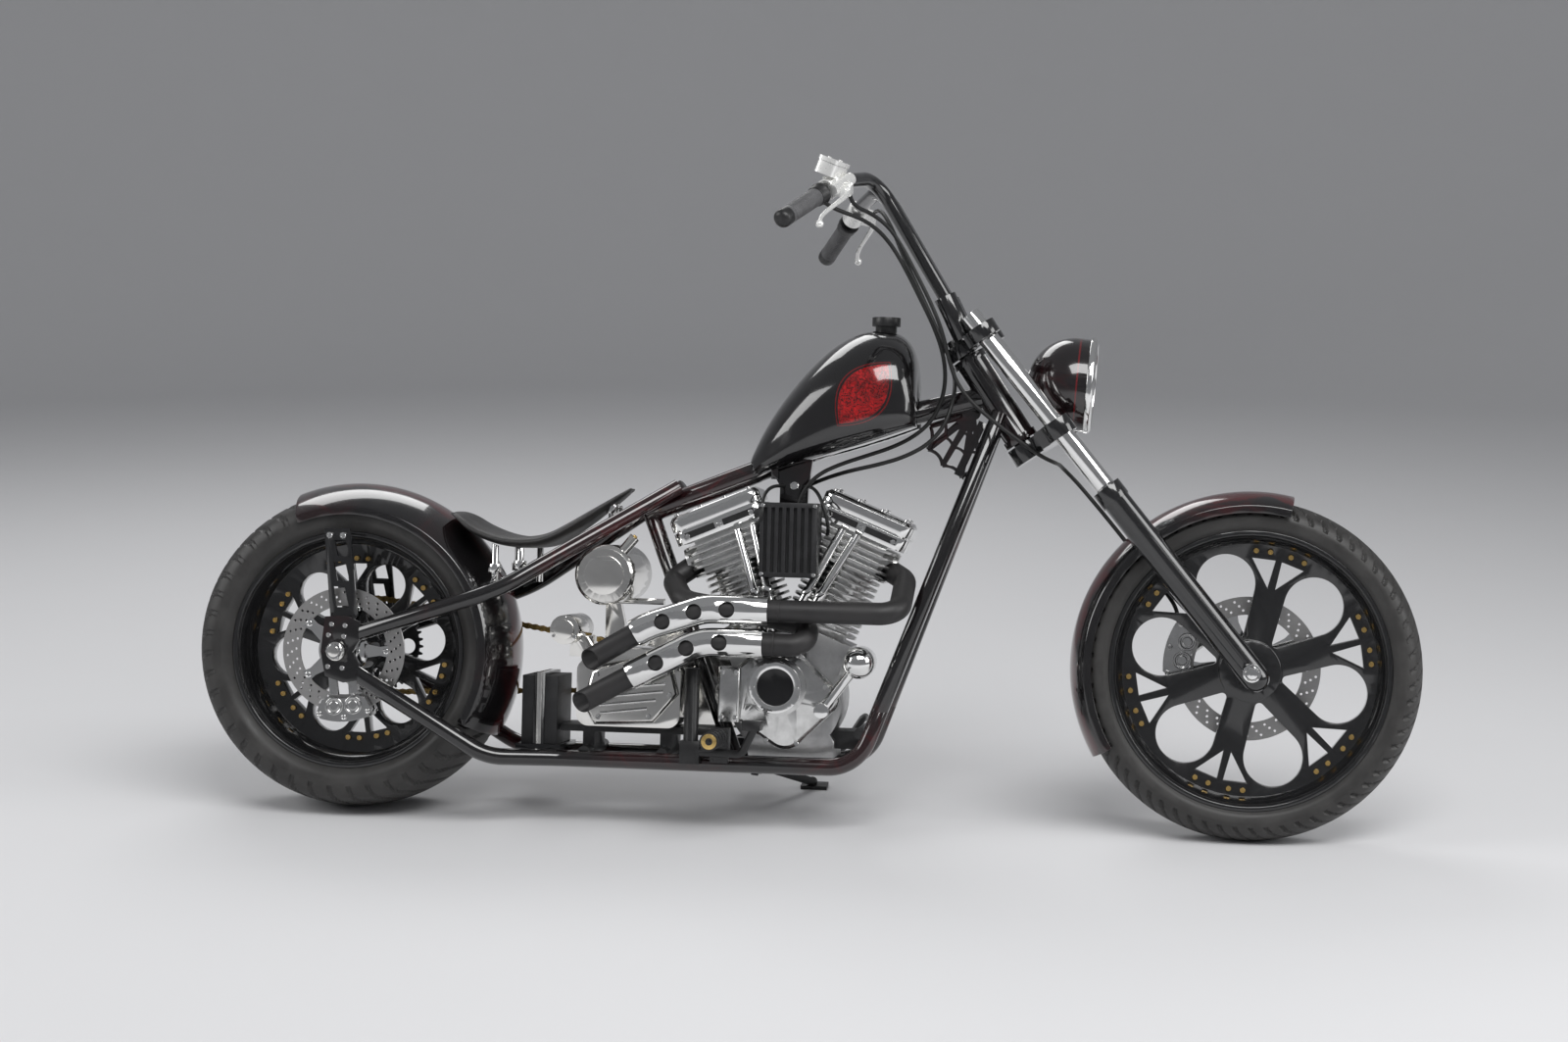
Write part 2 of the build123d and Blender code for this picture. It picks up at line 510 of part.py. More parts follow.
perch_at = bar_bend + grip_axis * 32
control_plane = Plane(origin=perch_at, x_dir=grip_axis, z_dir=(0.35, 0.1, 0.93))
perch = control_plane * (Pos(0, 0, 0) * Cylinder(BAR_R + 7, 40, rotation=(0, 90, 0)))
lever_path = FilletPolyline((0, -26, 0), (20, -50, 0), (150, -58, -4), (190, -52, -4), radius=[14, 60])
lever = sweep(Plane(origin=lever_path @ 0, z_dir=lever_path % 0) * Circle(5.5), path=lever_path)
reservoir = Pos(-4, 14, 36) * Box(74, 44, 36) + Pos(0, -14, 4) * Box(34, 26, 30)
left_perch = perch + control_plane * (Pos(0, -22, 0) * Box(34, 30, 22)) + control_plane * lever
right_perch = mirror(perch + control_plane * reservoir + control_plane * lever, about=Plane.XZ)
nodes["hand_controls"] = left_perch + right_perch - nodes["handlebar"]

# Headlight
lamp_tilt = 4.0
lamp_at = (NECK.X + 160, 0, NECK.Z + 34)
lamp_profile = make_face([ThreePointArc((0, -96), (66, -68), (94, 0)), Line((94, 0), (94, 26)),
                          Line((94, 26), (0, 26)), Line((0, 26), (0, -96))])
lamp_turn = Pos(*lamp_at) * Rot(Y=90 + lamp_tilt)
lamp_shell = lamp_turn * (revolve(Plane.XZ * lamp_profile, Axis.Z))
lamp_cut = lamp_turn * (Pos(0, 0, 18) * Cylinder(84, 40))
nodes["headlight_shell"] = lamp_shell - lamp_cut
lens_profile = make_face([ThreePointArc((0, 40), (48, 34), (84, 26)), Line((84, 26), (84, -2)),
                          Line((84, -2), (0, -2)), Line((0, -2), (0, 40))])
nodes["headlight_lens"] = lamp_turn * revolve(Plane.XZ * lens_profile, Axis.Z)
ring_profile = make_face(Polyline((85, 26), (97, 26), (97, 36), (90, 41), (85, 41), close=True))
nodes["headlight_ring"] = (lamp_turn * revolve(Plane.XZ * ring_profile, Axis.Z)) - nodes["headlight_lens"]
lamp_post = rod(steer_point(-NECK_LENGTH / 2 - 24, 62), (lamp_at[0], 0, lamp_at[2] - 82), 12) - lamp_shell
nodes["triple_trees"] = lower_tree + lamp_post + upper_tree

# Engine
def cylinder_frame(side):
    """Side +1 is the front cylinder, -1 the rear; local z runs out from the crank."""
    return Pos(CRANK_X, 0, CRANK_Z) * Rot(Y=side * HALF_V)


case_face = Pos(CRANK_X, CRANK_Z) * Circle(116)
for side in BOTH_SIDES:
    case_face += Pos(CRANK_X, CRANK_Z) * Rot(Z=-side * HALF_V) * Pos(0, DECK / 2) * Rectangle(156, DECK)
CASE_FOOT = ((-73, -117), (101, -117), (101, -83), (55, -9), (-75, -9), (-83, -79))
case_face += outline([(CRANK_X + ahead, CRANK_Z + above) for ahead, above in CASE_FOOT])
crankcase = slab(case_face, CASE_HALF, -CASE_HALF)
crankcase += slab(Pos(CRANK_X, CRANK_Z) * Circle(64), PRIMARY_Y, CASE_HALF)
nodes["crankcase"] = crankcase - cross_member - cradle - mirror(cradle, about=Plane.XZ)

gear_face = make_hull(((Pos(CRANK_X - 14, CRANK_Z + 26) * Circle(82)) + (Pos(CRANK_X + 78, CRANK_Z + 4) * Circle(34))
                       + (Pos(CRANK_X - 100, CRANK_Z + 8) * Circle(40))
                       + (Pos(CRANK_X + 4, CRANK_Z - 56) * Circle(44))).edges())
cam_cover = slab(gear_face, -CASE_HALF, -112.0)
cam_cover = chamfer(cam_cover.faces().sort_by(Axis.Y)[0].edges(), 8)
CAM_X = CRANK_X - 14
CAM_Z = CRANK_Z + 26
CAM_FACE = -112.0
cam_cover += slab(Pos(CAM_X, CAM_Z) * Circle(60), CAM_FACE, CAM_FACE - 12)
oil_pump = block((CRANK_X - 129, CRANK_X - 85), (CAM_FACE - 28, -CASE_HALF - 6), (CRANK_Z - 46, CRANK_Z + 64))
cam_cover += fillet(oil_pump.edges().filter_by(Axis.Z), 7)
nodes["cam_cover"] = cam_cover
points_cover = slab(Pos(CAM_X, CAM_Z) * (Circle(52) - Circle(38)), CAM_FACE - 12, CAM_FACE - 28)
points_cover += slab(Pos(CAM_X, CAM_Z) * Circle(38), CAM_FACE - 12, CAM_FACE - 20)
nodes["points_cover"] = points_cover

FIN_COUNT = 10
barrels = {}
cylinder_heads = {}
rockers = {}
for name, side in (("front", 1), ("rear", -1)):
    place = cylinder_frame(side)
    barrel = Pos(0, 0, (DECK + BARREL_TOP) / 2) * Cylinder(58, BARREL_TOP - DECK)
    pitch = (BARREL_TOP - DECK - 10) / FIN_COUNT
    barrel += [Pos(0, 0, DECK + 14 + fin * pitch) * Cylinder(77, 5) for fin in range(FIN_COUNT)]
    own_side = block(sorted((CRANK_X + side * 2, CRANK_X + side * 400)), (-200, 200), (0, 1000))
    barrels[name] = (place * barrel) & own_side
    head = Pos(0, 0, (BARREL_TOP + HEAD_TOP) / 2) * Box(126, 116, HEAD_TOP - BARREL_TOP)
    head += [extrude(Pos(0, 0, BARREL_TOP + 2 + fin * 14.5) * RectangleRounded(172, 156, 30), amount=5.5)
             for fin in range(5)]
    head += Pos(side * 76, -20, BARREL_TOP + 38) * Cylinder(29, 34, rotation=(0, 90, 0))
    cylinder_heads[name] = place * head
    rocker = extrude(Pos(0, 0, HEAD_TOP) * RectangleRounded(196, 142, 26), amount=26)
    rocker += extrude(Pos(0, 0, HEAD_TOP + 26) * RectangleRounded(184, 130, 24), amount=4)
    lid = extrude(Pos(0, 0, HEAD_TOP + 30) * RectangleRounded(196, 142, 26), amount=ROCKER_TOP - HEAD_TOP - 30)
    rocker += chamfer(lid.faces().sort_by(Axis.Z)[-1].edges(), 8)
    rockers[name] = place * rocker

nodes["cylinders"] = (barrels["front"] + cylinder_heads["front"]) + (barrels["rear"] + cylinder_heads["rear"])
nodes["rocker_boxes"] = rockers["front"] + rockers["rear"]
nodes["crankcase"] = nodes["crankcase"] - nodes["cylinders"]

# Pushrods: (top ahead, top above, foot ahead, foot above) of the crank
PUSHRODS = ((-105, 341, -43, 133), (-73, 351, -21, 139), (139, 337, 25, 139), (109, 347, 1, 143))
PUSHROD_Y = -90.0
pushrods = Part()
for top_x, top_z, low_x, low_z in PUSHRODS:
    top = Vector(CRANK_X + top_x, PUSHROD_Y, CRANK_Z + top_z)
    low = Vector(CRANK_X + low_x, PUSHROD_Y, CRANK_Z + low_z)
    along = (top - low).normalized()
    pushrods += rod(low, top, 8.5)
    pushrods += rod(low, (low + along * 26), 12)
    pushrods += rod((low + along * 78), (low + along * 92), 11)
TAPPET_BLOCK = ((-67, 81), (45, 81), (43, 137), (-63, 133))
tappets = slab(outline([(CRANK_X + ahead, CRANK_Z + above) for ahead, above in TAPPET_BLOCK]), -CASE_HALF, -104)
nodes["cam_cover"] = nodes["cam_cover"] + tappets - nodes["crankcase"] - nodes["cylinders"]
nodes["pushrod_tubes"] = pushrods - nodes["rocker_boxes"] - nodes["cam_cover"] - nodes["cylinders"] - nodes["crankcase"]

AIR_BOX_BACK = CRANK_X - 53
AIR_BOX_LOW = CRANK_Z + 247
air_box = block((AIR_BOX_BACK, AIR_BOX_BACK + 116), (-142, -56), (AIR_BOX_LOW, AIR_BOX_LOW + 150))
for count in range(7):
    rib = AIR_BOX_BACK + 8 + count * 15
    air_box -= block((rib, rib + 7), (-150, -132), (AIR_BOX_LOW + 10, AIR_BOX_LOW + 140))
air_box += block((CRANK_X - 25, CRANK_X + 35), (-56, 30), (CRANK_Z + 281, CRANK_Z + 341))
nodes["air_cleaner"] = air_box - nodes["rocker_boxes"] - nodes["pushrod_tubes"] - nodes["cylinders"]

# Exhausts: points of the centreline, (ahead of the crank, y, above the crank)
FRONT_PIPE = ((193, -20, 270), (237, -66, 246), (235, PIPE_Y, 181), (-153, PIPE_Y, 181), (-265, PIPE_Y, 143),
              (-408, PIPE_Y, 57))
REAR_PIPE = ((-193, -20, 270), (-243, -40, 233), (-205, -128, 193), (50, -133, 155), (50, -188, 113),
             (-160, PIPE_Y, 115), (-275, PIPE_Y, 56), (-424, PIPE_Y, -28))
pipes = {}
for name, route, bends in (("front", FRONT_PIPE, [40, 42, 120, 200]),
                           ("rear", REAR_PIPE, [26, 40, 33, 33, 120, 200])):
    points = [(CRANK_X + ahead, y, CRANK_Z + above) for ahead, y, above in route]
    pipe = bent(points, PIPE_R, bends)
    end = Vector(*points[-1])
    back = (Vector(*points[-2]) - end).normalized()
    pipe -= rod((end - back * 20), (end + back * 90), PIPE_BORE_R)
    mouth = Plane(origin=(end + back * 30), z_dir=(-0.62, -0.66, -0.42))
    pipe -= extrude(mouth * Circle(90), amount=160)
    pipes[name] = pipe
nodes["front_exhaust"] = pipes["front"] - nodes["cylinders"]
nodes["rear_exhaust"] = pipes["rear"] - nodes["cylinders"]

# Shields: (ahead of the crank, above the crank) of the line they follow, and where their holes are along it
SHIELDS = (("front", ((-25, 181), (-153, 181), (-265, 143), (-292, 127)), [120, 200], (0.29, 0.53, 0.77)),
           ("rear", ((-34, 115.6), (-160, 115), (-275, 56), (-300, 42)), [120, 200], (0.3, 0.54, 0.78)))
SHIELD_HOLE_R = 16.0
shields = Part()
for name, points, bends, hole_shares in SHIELDS:
    line = [(CRANK_X + ahead, PIPE_Y, CRANK_Z + above) for ahead, above in points]
    outer = bent(line, PIPE_R + 4 + SHIELD_WALL, bends)
    inner = bent(line, PIPE_R + 4, bends)
    shield = (outer - inner) & block((CRANK_X - 505, CRANK_X + 95), (-260, PIPE_Y - 4), (CRANK_Z - 59, CRANK_Z + 261))
    run = FilletPolyline(*line, radius=bends)
    for share in hole_shares:
        spot = run @ share
        shield -= rod((spot.X, -260, spot.Z), (spot.X, PIPE_Y, spot.Z), SHIELD_HOLE_R)
    for share in (0.12, 0.91):
        spot = run @ share
        shield += rod((spot.X, PIPE_Y - PIPE_R + 2, spot.Z), (spot.X, PIPE_Y - PIPE_R - 5, spot.Z), 6)
    shields += shield
nodes["heat_shields"] = shields - nodes["front_exhaust"] - nodes["rear_exhaust"]

# Oil tank, battery, gearbox, primary drive
oil_tank = slab(Pos(533, 500) * Circle(61), 116, -116)
oil_tank = chamfer(oil_tank.edges().filter_by(GeomType.CIRCLE), 7)
oil_tank += slab(Pos(533, 500) * Circle(40), -116, -121)
oil_tank += rod((566, -92, 548), (590, -92, 578), 11)
nodes["oil_tank"] = oil_tank - nodes["upper_stays"] - nodes["seat_post"]
bracket = block((520, 548), (-40, 40), (440, 452)) + block((548, 640), (-12, 12), (440, 452))
bracket += slab(outline([(520, 452), (548, 452), (560, 400), (560, 330), (520, 330)]), 12, -12)
bracket = bracket - nodes["oil_tank"] - nodes["seat_post"]

gearbox = block((478, 692), (-92, 92), (192, 330))
gearbox = fillet(gearbox.edges().filter_by(Axis.Y), 26)
gearbox_cover = slab(outline([(520, 196), (640, 204), (690, 262), (676, 318), (590, 330), (512, 306), (494, 240)]),
                     -92, -112)
gearbox_cover = chamfer(gearbox_cover.faces().sort_by(Axis.Y)[0].edges(), 6)
gearbox += gearbox_cover + rod((FINAL_X, 92, FINAL_Z), (FINAL_X, 152, FINAL_Z), 15)
gearbox += rod((CLUTCH_X, 92, CLUTCH_Z), (CLUTCH_X, PRIMARY_Y, CLUTCH_Z), 30)
gearbox += slab(outline([(486, 328), (660, 328), (640, 352), (506, 352)]), 70, -70)
gearbox = gearbox + bracket
starter = rod((452, -104, 386), (452, 60, 386), 30) + rod((452, -112, 386), (452, -104, 386), 20)
starter += block((452, 500), (-40, 0), (330, 372))
toothed_wheel = Pos(FINAL_X, 0, FINAL_Z) * slab(toothed(FINAL_R, FINAL_TEETH, ROLLER_R + ROLLER_SEAT),
                                               CHAIN_Y + 3, CHAIN_Y - 3)
nodes["gearbox"] = gearbox + starter + toothed_wheel - nodes["oil_tank"] - nodes["seat_post"]
gear_plate = block((440, 770), (-60, 60), (178, 192))
gear_legs = Part()
for x in (500, 660):
    gear_legs += rod((x, -RAIL_Y - 4, 140), (x, RAIL_Y + 4, 140), 12)
    gear_legs += block((x - 12, x + 12), (-60, 60), (140, 180))
gear_plate = gear_plate + gear_legs - nodes["lower_rails"] - nodes["seat_post"] - nodes["gearbox"]

battery = block((362, 436), (-74, 74), (150, 290))
nodes["battery"] = battery
tray = block((352, 446), (-82, 82), (138, 150)) + rod((400, -RAIL_Y - 6, 130), (400, RAIL_Y + 6, 130), 11)
strap = block((388, 410), (-80, -74), (150, 296)) + block((388, 410), (74, 80), (150, 296))
strap += block((388, 410), (-80, 80), (290, 296))
nodes["battery_tray"] = tray + strap - nodes["lower_rails"] - nodes["battery"]

primary_face = make_hull(((Pos(CRANK_X, CRANK_Z) * Circle(86)) + (Pos(CLUTCH_X, CLUTCH_Z) * Circle(98))).edges())
primary = slab(primary_face, PRIMARY_Y + PRIMARY_DEEP, PRIMARY_Y)
primary = chamfer(primary.faces().sort_by(Axis.Y)[-1].edges(), 14)
primary += slab(Pos(CLUTCH_X, CLUTCH_Z) * Circle(70), PRIMARY_Y + PRIMARY_DEEP + 8, PRIMARY_Y + PRIMARY_DEEP)
nodes["primary_cover"] = primary

# Chain: tangents of the two sprockets
span = Vector(FINAL_X - REAR_AXLE[0], FINAL_Z - REAR_AXLE[2], 0)
slope = degrees(asin(span.Y / span.length))
spread = degrees(asin((REAR_SPROCKET_R - FINAL_R) / span.length))
upper_angle = 90 + slope - spread
lower_angle = -90 + slope + spread
rear_hub_2d = (REAR_AXLE[0], REAR_AXLE[2])
final_2d = (FINAL_X, FINAL_Z)


def chain_loop(offset):
    rear_r = REAR_SPROCKET_R + offset
    final_r = FINAL_R + offset
    middle = (upper_angle + lower_angle) / 2
    rear_up = offset_from(rear_hub_2d, rear_r, upper_angle)
    final_up = offset_from(final_2d, final_r, upper_angle)
    final_low = offset_from(final_2d, final_r, lower_angle)
    rear_low = offset_from(rear_hub_2d, rear_r, lower_angle)
    final_mid = offset_from(final_2d, final_r, middle)
    rear_mid = offset_from(rear_hub_2d, rear_r, middle + 180)
    return make_face([Line(rear_up, final_up), ThreePointArc(final_up, final_mid, final_low),
                      Line(final_low, rear_low), ThreePointArc(rear_low, rear_mid, rear_up)])


loop_face = chain_loop(CHAIN_HALF_HEIGHT) - chain_loop(-CHAIN_HALF_HEIGHT)
chain = slab(loop_face, CHAIN_Y - 5.5, CHAIN_Y - 8.0) + slab(loop_face, CHAIN_Y + 8.0, CHAIN_Y + 5.5)
straight = span.length * cos(radians(spread))
PIN_COUNT = int((straight - 60) / CHAIN_PITCH)
rollers = []
for angle in (upper_angle, lower_angle):
    start = offset_from(rear_hub_2d, REAR_SPROCKET_R, angle)
    stop = offset_from(final_2d, FINAL_R, angle)
    for count in range(PIN_COUNT):
        share = (42 + count * CHAIN_PITCH) / straight
        spot = [a + share * (b - a) for a, b in zip(start, stop)]
        rollers.append(slab(Pos(*spot) * RegularPolygon(ROLLER_R, 6), CHAIN_Y + 5.5, CHAIN_Y - 5.5))
for tooth in range(-4, 4):
    angle = (tooth + 0.5) * 360 / FINAL_TEETH
    seated = Pos(*offset_from(final_2d, FINAL_R, angle)) * Rot(Z=angle) * RegularPolygon(ROLLER_R, 6)
    rollers.append(slab(seated, CHAIN_Y + 5.5, CHAIN_Y - 5.5))
nodes["chain"] = chain + rollers

# Oil filter and front mount
FILTER_X = CRANK_X + 152
FILTER_Z = CRANK_Z + 80
oil_filter = rod((FILTER_X, -130, FILTER_Z), (FILTER_X, -70, FILTER_Z), 32) + Pos(FILTER_X, -130, FILTER_Z) * Sphere(32)
filter_arm = rod((FILTER_X, -72, FILTER_Z), (FILTER_X, -20, FILTER_Z), 16)
filter_arm += rod((FILTER_X, -30, FILTER_Z), (FILTER_X - 72, -30, FILTER_Z - 39), 14)
oil_pipe = rod((CRANK_X + 80, -126, CRANK_Z - 18), (FILTER_X - 8, -124, FILTER_Z - 10), 11)
oil_pipe += rod((CRANK_X + 80, -96, CRANK_Z - 18), (CRANK_X + 80, -140, CRANK_Z - 18), 15)
filter_arm += oil_pipe - nodes["cam_cover"]
nodes["oil_filter"] = oil_filter + filter_arm - nodes["crankcase"] - nodes["cylinders"]
front_mount = rod((1062, -RAIL_Y - 2, 196), (1062, RAIL_Y + 2, 196), 12)
front_mount += block((CRANK_X + 93, 1066), (-50, 50), (160, 196))
nodes["engine_mounts"] = gear_plate + (front_mount - nodes["crankcase"] - nodes["down_tubes"] - nodes["lower_rails"])

# Foot controls
PEG_X = 782.0
RIGHT_PEG_Z = 183.0
LEFT_PEG_Z = 146.0
pegs = Part()
for side, peg_z in ((-1, RIGHT_PEG_Z), (1, LEFT_PEG_Z)):
    peg = block((PEG_X - 18, PEG_X + 18), (RAIL_Y + 2, RAIL_Y + 40), (130, peg_z + 17))
    peg += rod((PEG_X, RAIL_Y + 40, peg_z), (PEG_X, 292, peg_z), 16)
    peg += [rod((PEG_X, y, peg_z), (PEG_X, y + 6, peg_z), 19) for y in (180, 215, 250, 284)]
    pegs += peg if side > 0 else mirror(peg, about=Plane.XZ)
peg_part = pegs - nodes["lower_rails"] - nodes["seat_post"]
nodes["foot_pegs"] = peg_part
brake_pedal = rod((722, -132, 172), (722, -132, 318), 15)
brake_pedal += block((702, 742), (-150, -RAIL_Y - 4), (126, 172))
brake_pedal += bent([(742, -142, 150), (830, -160, 150), (862, -196, 214), (862, -262, 214)], 8, [20, 20])
brake_pedal += block((844, 880), (-276, -226), (206, 224))
shift_lever = bent([(882, 142, 142), (1000, 160, 142), (1036, 226, 204), (1036, 290, 204)], 8, [24, 24])
shift_lever += block((866, 898), (RAIL_Y + 4, 150), (128, 156))
nodes["foot_controls"] = brake_pedal + shift_lever - nodes["lower_rails"] - nodes["foot_pegs"]

# Side stand, drawn on the road and turned back into the upright frame
to_upright = Rot(X=LEAN)
pivot = Vector(*STAND_PIVOT)
stand_leg = Vector(*STAND_FOOT) - pivot
stand_axis = stand_leg.cross(Vector(*STAND_FOLDED)).normalized()
hinge = Plane(origin=STAND_PIVOT, x_dir=stand_leg.normalized(), z_dir=stand_axis)
eye = hinge * (Cylinder(STAND_EYE_R, 14) - Cylinder(8 + FIT_GAP, 30))
leg_start = pivot + stand_leg.normalized() * 34
stand = eye + rod(leg_start, STAND_FOOT, 9) + hinge * (Pos(26, 0, 0) * Box(34, 18, 14))
stand += Pos(STAND_FOOT[0] + 4, STAND_FOOT[1] + 6, 4) * Box(56, 44, 8)
stand += Pos(*STAND_FOOT) * Sphere(11)
stand -= Pos(STAND_FOOT[0], STAND_FOOT[1], -50) * Box(300, 300, 100)
stand -= hinge * Cylinder(8 + FIT_GAP, 30)
nodes["side_stand"] = to_upright * stand
tabs = Part()
to_rail = Vector(-2, -40, 26)
in_plane = pivot + to_rail - stand_axis * to_rail.dot(stand_axis)
for side in BOTH_SIDES:
    tabs += hinge * (Pos(0, 0, side * 13) * Cylinder(16, 9))
    lift = stand_axis * (side * 13)
    tabs += rod(pivot + lift, in_plane + lift * 0.8, 4.4)
bolt = hinge * (Cylinder(8, 46) + Pos(0, 0, 21) * Cylinder(13, 8))
nodes["stand_bracket"] = (to_upright * (tabs + bolt)) - nodes["lower_rails"]

# Lean the finished bike, set it on the road and write one file per node
leaned = {name: Rot(X=-LEAN) * part for name, part in nodes.items()}
whole = Compound(children=[Compound(part.solids()) for part in leaned.values()])
box = whole.bounding_box()
shift = (-(box.min.X + box.max.X) / 2, -(box.min.Y + box.max.Y) / 2, -box.min.Z)
os.makedirs("parts", exist_ok=True)
for name, part in leaned.items():
    solids = part.solids()
    placed = Pos(*shift) * (solids[0] if len(solids) == 1 else Compound(solids))
    placed.label = name
    export_step(placed, f"parts/{name}.step")
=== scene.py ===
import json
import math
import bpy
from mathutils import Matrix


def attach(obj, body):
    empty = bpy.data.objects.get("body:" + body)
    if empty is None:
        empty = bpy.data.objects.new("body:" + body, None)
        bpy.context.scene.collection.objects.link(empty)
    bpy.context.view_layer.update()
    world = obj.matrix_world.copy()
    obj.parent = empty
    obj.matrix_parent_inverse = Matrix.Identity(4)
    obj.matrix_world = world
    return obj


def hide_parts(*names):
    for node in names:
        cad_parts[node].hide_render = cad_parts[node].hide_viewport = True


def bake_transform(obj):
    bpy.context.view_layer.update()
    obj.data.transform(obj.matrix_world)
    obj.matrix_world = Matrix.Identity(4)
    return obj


bl_info = {
    "name": "Long fork chopper",
    "version": (1, 0, 0),
    "blender": (4, 5, 0),
    "location": "View3D > Sidebar > Chopper",
    "description": "Finishes and small parts of a rigid-frame V-twin chopper on its packed frame",
    "category": "Object",
}

import bmesh
import bpy
from bpy.props import FloatProperty, FloatVectorProperty, IntProperty, PointerProperty
from mathutils import Matrix, Vector

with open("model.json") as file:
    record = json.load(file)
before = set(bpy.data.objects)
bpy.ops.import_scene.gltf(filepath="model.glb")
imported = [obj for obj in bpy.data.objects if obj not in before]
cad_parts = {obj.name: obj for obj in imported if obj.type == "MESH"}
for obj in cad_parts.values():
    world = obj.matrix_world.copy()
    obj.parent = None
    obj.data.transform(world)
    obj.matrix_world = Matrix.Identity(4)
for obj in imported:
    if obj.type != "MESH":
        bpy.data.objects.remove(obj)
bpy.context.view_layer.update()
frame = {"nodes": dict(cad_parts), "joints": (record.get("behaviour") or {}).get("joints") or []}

# The bike is described upright, in millimetres: x forward from the rear axle, y left, z up.
JOINTS = {joint["name"]: joint for joint in frame["joints"]}
REAR_AXLE_ROW = Vector(JOINTS["rear_wheel_spin"]["pos_m"])
ACROSS = Vector(JOINTS["rear_wheel_spin"]["axis"])
LEAN = math.asin(-ACROSS.z)
MM = 0.001
REAR_AXLE_Z = 331.565
UPRIGHT = (Matrix.Translation(REAR_AXLE_ROW) @ Matrix.Rotation(-LEAN, 4, "X") @ Matrix.Scale(MM, 4)
           @ Matrix.Translation((0.0, 0.0, -REAR_AXLE_Z)))
FRONT_AXLE = UPRIGHT.inverted() @ Vector(JOINTS["front_wheel_spin"]["pos_m"])
REAR_AXLE = UPRIGHT.inverted() @ REAR_AXLE_ROW
BOTH_SIDES = (1, -1)
SPOKES = 6


def spun(radius, angle, y, centre):
    """Point on a circle in the bike's side view, angle in degrees from straight ahead."""
    turn = math.radians(angle)
    return Vector((centre.x + radius * math.cos(turn), centre.y + y, centre.z + radius * math.sin(turn)))


def frame_along(origin, direction):
    """Matrix whose z axis points along a direction."""
    return Matrix.Translation(origin) @ Vector(direction).to_track_quat("Z", "Y").to_matrix().to_4x4()


def lathe(bm, profile, place, count):
    """Turns (radius, height) points about the local z axis; a radius of 0 closes to a point."""
    rings = []
    for radius, height in profile:
        if radius == 0:
            rings.append([bm.verts.new(place @ Vector((0, 0, height)))])
            continue
        ring = []
        for step in range(count):
            turn = 2 * math.pi * step / count
            spot = Vector((radius * math.cos(turn), radius * math.sin(turn), height))
            ring.append(bm.verts.new(place @ spot))
        rings.append(ring)
    for low, high in zip(rings, rings[1:]):
        for step in range(count):
            after = (step + 1) % count
            if len(low) == 1 and len(high) == 1:
                continue
            if len(low) == 1:
                bm.faces.new((low[0], high[after], high[step]))
            elif len(high) == 1:
                bm.faces.new((low[step], low[after], high[0]))
            else:
                bm.faces.new((low[step], low[after], high[after], high[step]))


def prism(bm, points, place, low, high):
    """Closed outline in local x, y given a thickness along local z."""
    bottom = [bm.verts.new(place @ Vector((x, y, low))) for x, y in points]
    top = [bm.verts.new(place @ Vector((x, y, high))) for x, y in points]
    bm.faces.new(list(reversed(bottom)))
    bm.faces.new(top)
    for step in range(len(points)):
        after = (step + 1) % len(points)
        bm.faces.new((bottom[step], bottom[after], top[after], top[step]))


def smoothed(points, count):
    """Evenly spread points of a smooth curve that a list of points steers."""
    curve = bpy.data.curves.new("route", "CURVE")
    curve.dimensions = "3D"
    spline = curve.splines.new("NURBS")
    spline.points.add(len(points) - 1)
    for knot, point in zip(spline.points, points):
        knot.co = (*point, 1.0)
    spline.order_u = 3
    spline.use_endpoint_u = True
    spline.resolution_u = 12
    holder = bpy.data.objects.new("route", curve)
    line = bpy.data.meshes.new_from_object(holder)
    path = [vert.co.copy() for vert in line.vertices]
    bpy.data.objects.remove(holder)
    bpy.data.curves.remove(curve)
    bpy.data.meshes.remove(line)
    return resampled(path, count)


def resampled(path, count):
    """Evenly spread points along a line of points, ends included."""
    marks = [0.0]
    for here, there in zip(path, path[1:]):
        marks.append(marks[-1] + (there - here).length)
    spread = []
    leg = 0
    for step in range(count):
        want = marks[-1] * step / (count - 1)
        while leg < len(path) - 2 and marks[leg + 1] < want:
            leg += 1
        span = marks[leg + 1] - marks[leg]
        share = (want - marks[leg]) / span if span else 0.0
        spread.append(path[leg].lerp(path[leg + 1], share))
    return spread


def tube(bm, path, radius, sides, closed=False):
    """Round tube along points; radius is a number or a function of the share along the path."""
    rings = []
    normal = None
    count = len(path)
    for step, point in enumerate(path):
        before = path[step - 1] if step or closed else point
        after = path[(step + 1) % count] if closed or step < count - 1 else point
        along = (after - before).normalized()
        if normal is None:
            normal = along.orthogonal().normalized()
        normal = (normal - along * normal.dot(along)).normalized()
        side = along.cross(normal)
        size = radius(step / (count - 1)) if callable(radius) else radius
        ring = []
        for corner in range(sides):
            turn = 2 * math.pi * corner / sides
            ring.append(bm.verts.new(point + (normal * math.cos(turn) + side * math.sin(turn)) * size))
        rings.append(ring)
    pairs = list(zip(rings, rings[1:]))
    if closed:
        pairs.append((rings[-1], rings[0]))
    for low, high in pairs:
        for corner in range(sides):
            nearby = (corner + 1) % sides
            bm.faces.new((low[corner], low[nearby], high[nearby], high[corner]))
    if not closed:
        bm.faces.new(list(reversed(rings[0])))
        bm.faces.new(rings[-1])


def piece(name, bm, finish, body, crease=38.0):
    """Turns a mesh drawn on the upright bike into an object that rides on a body."""
    bmesh.ops.recalc_face_normals(bm, faces=bm.faces)
    mesh = bpy.data.meshes.new(name)
    bm.to_mesh(mesh)
    bm.free()
    mesh.transform(UPRIGHT)
    mesh.polygons.foreach_set("use_smooth", [True] * len(mesh.polygons))
    mesh.set_sharp_from_angle(angle=math.radians(crease))
    mesh.materials.append(finish)
    made = bpy.data.objects.new(name, mesh)
    bpy.context.scene.collection.objects.link(made)
    if body:
        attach(made, body)
    return made


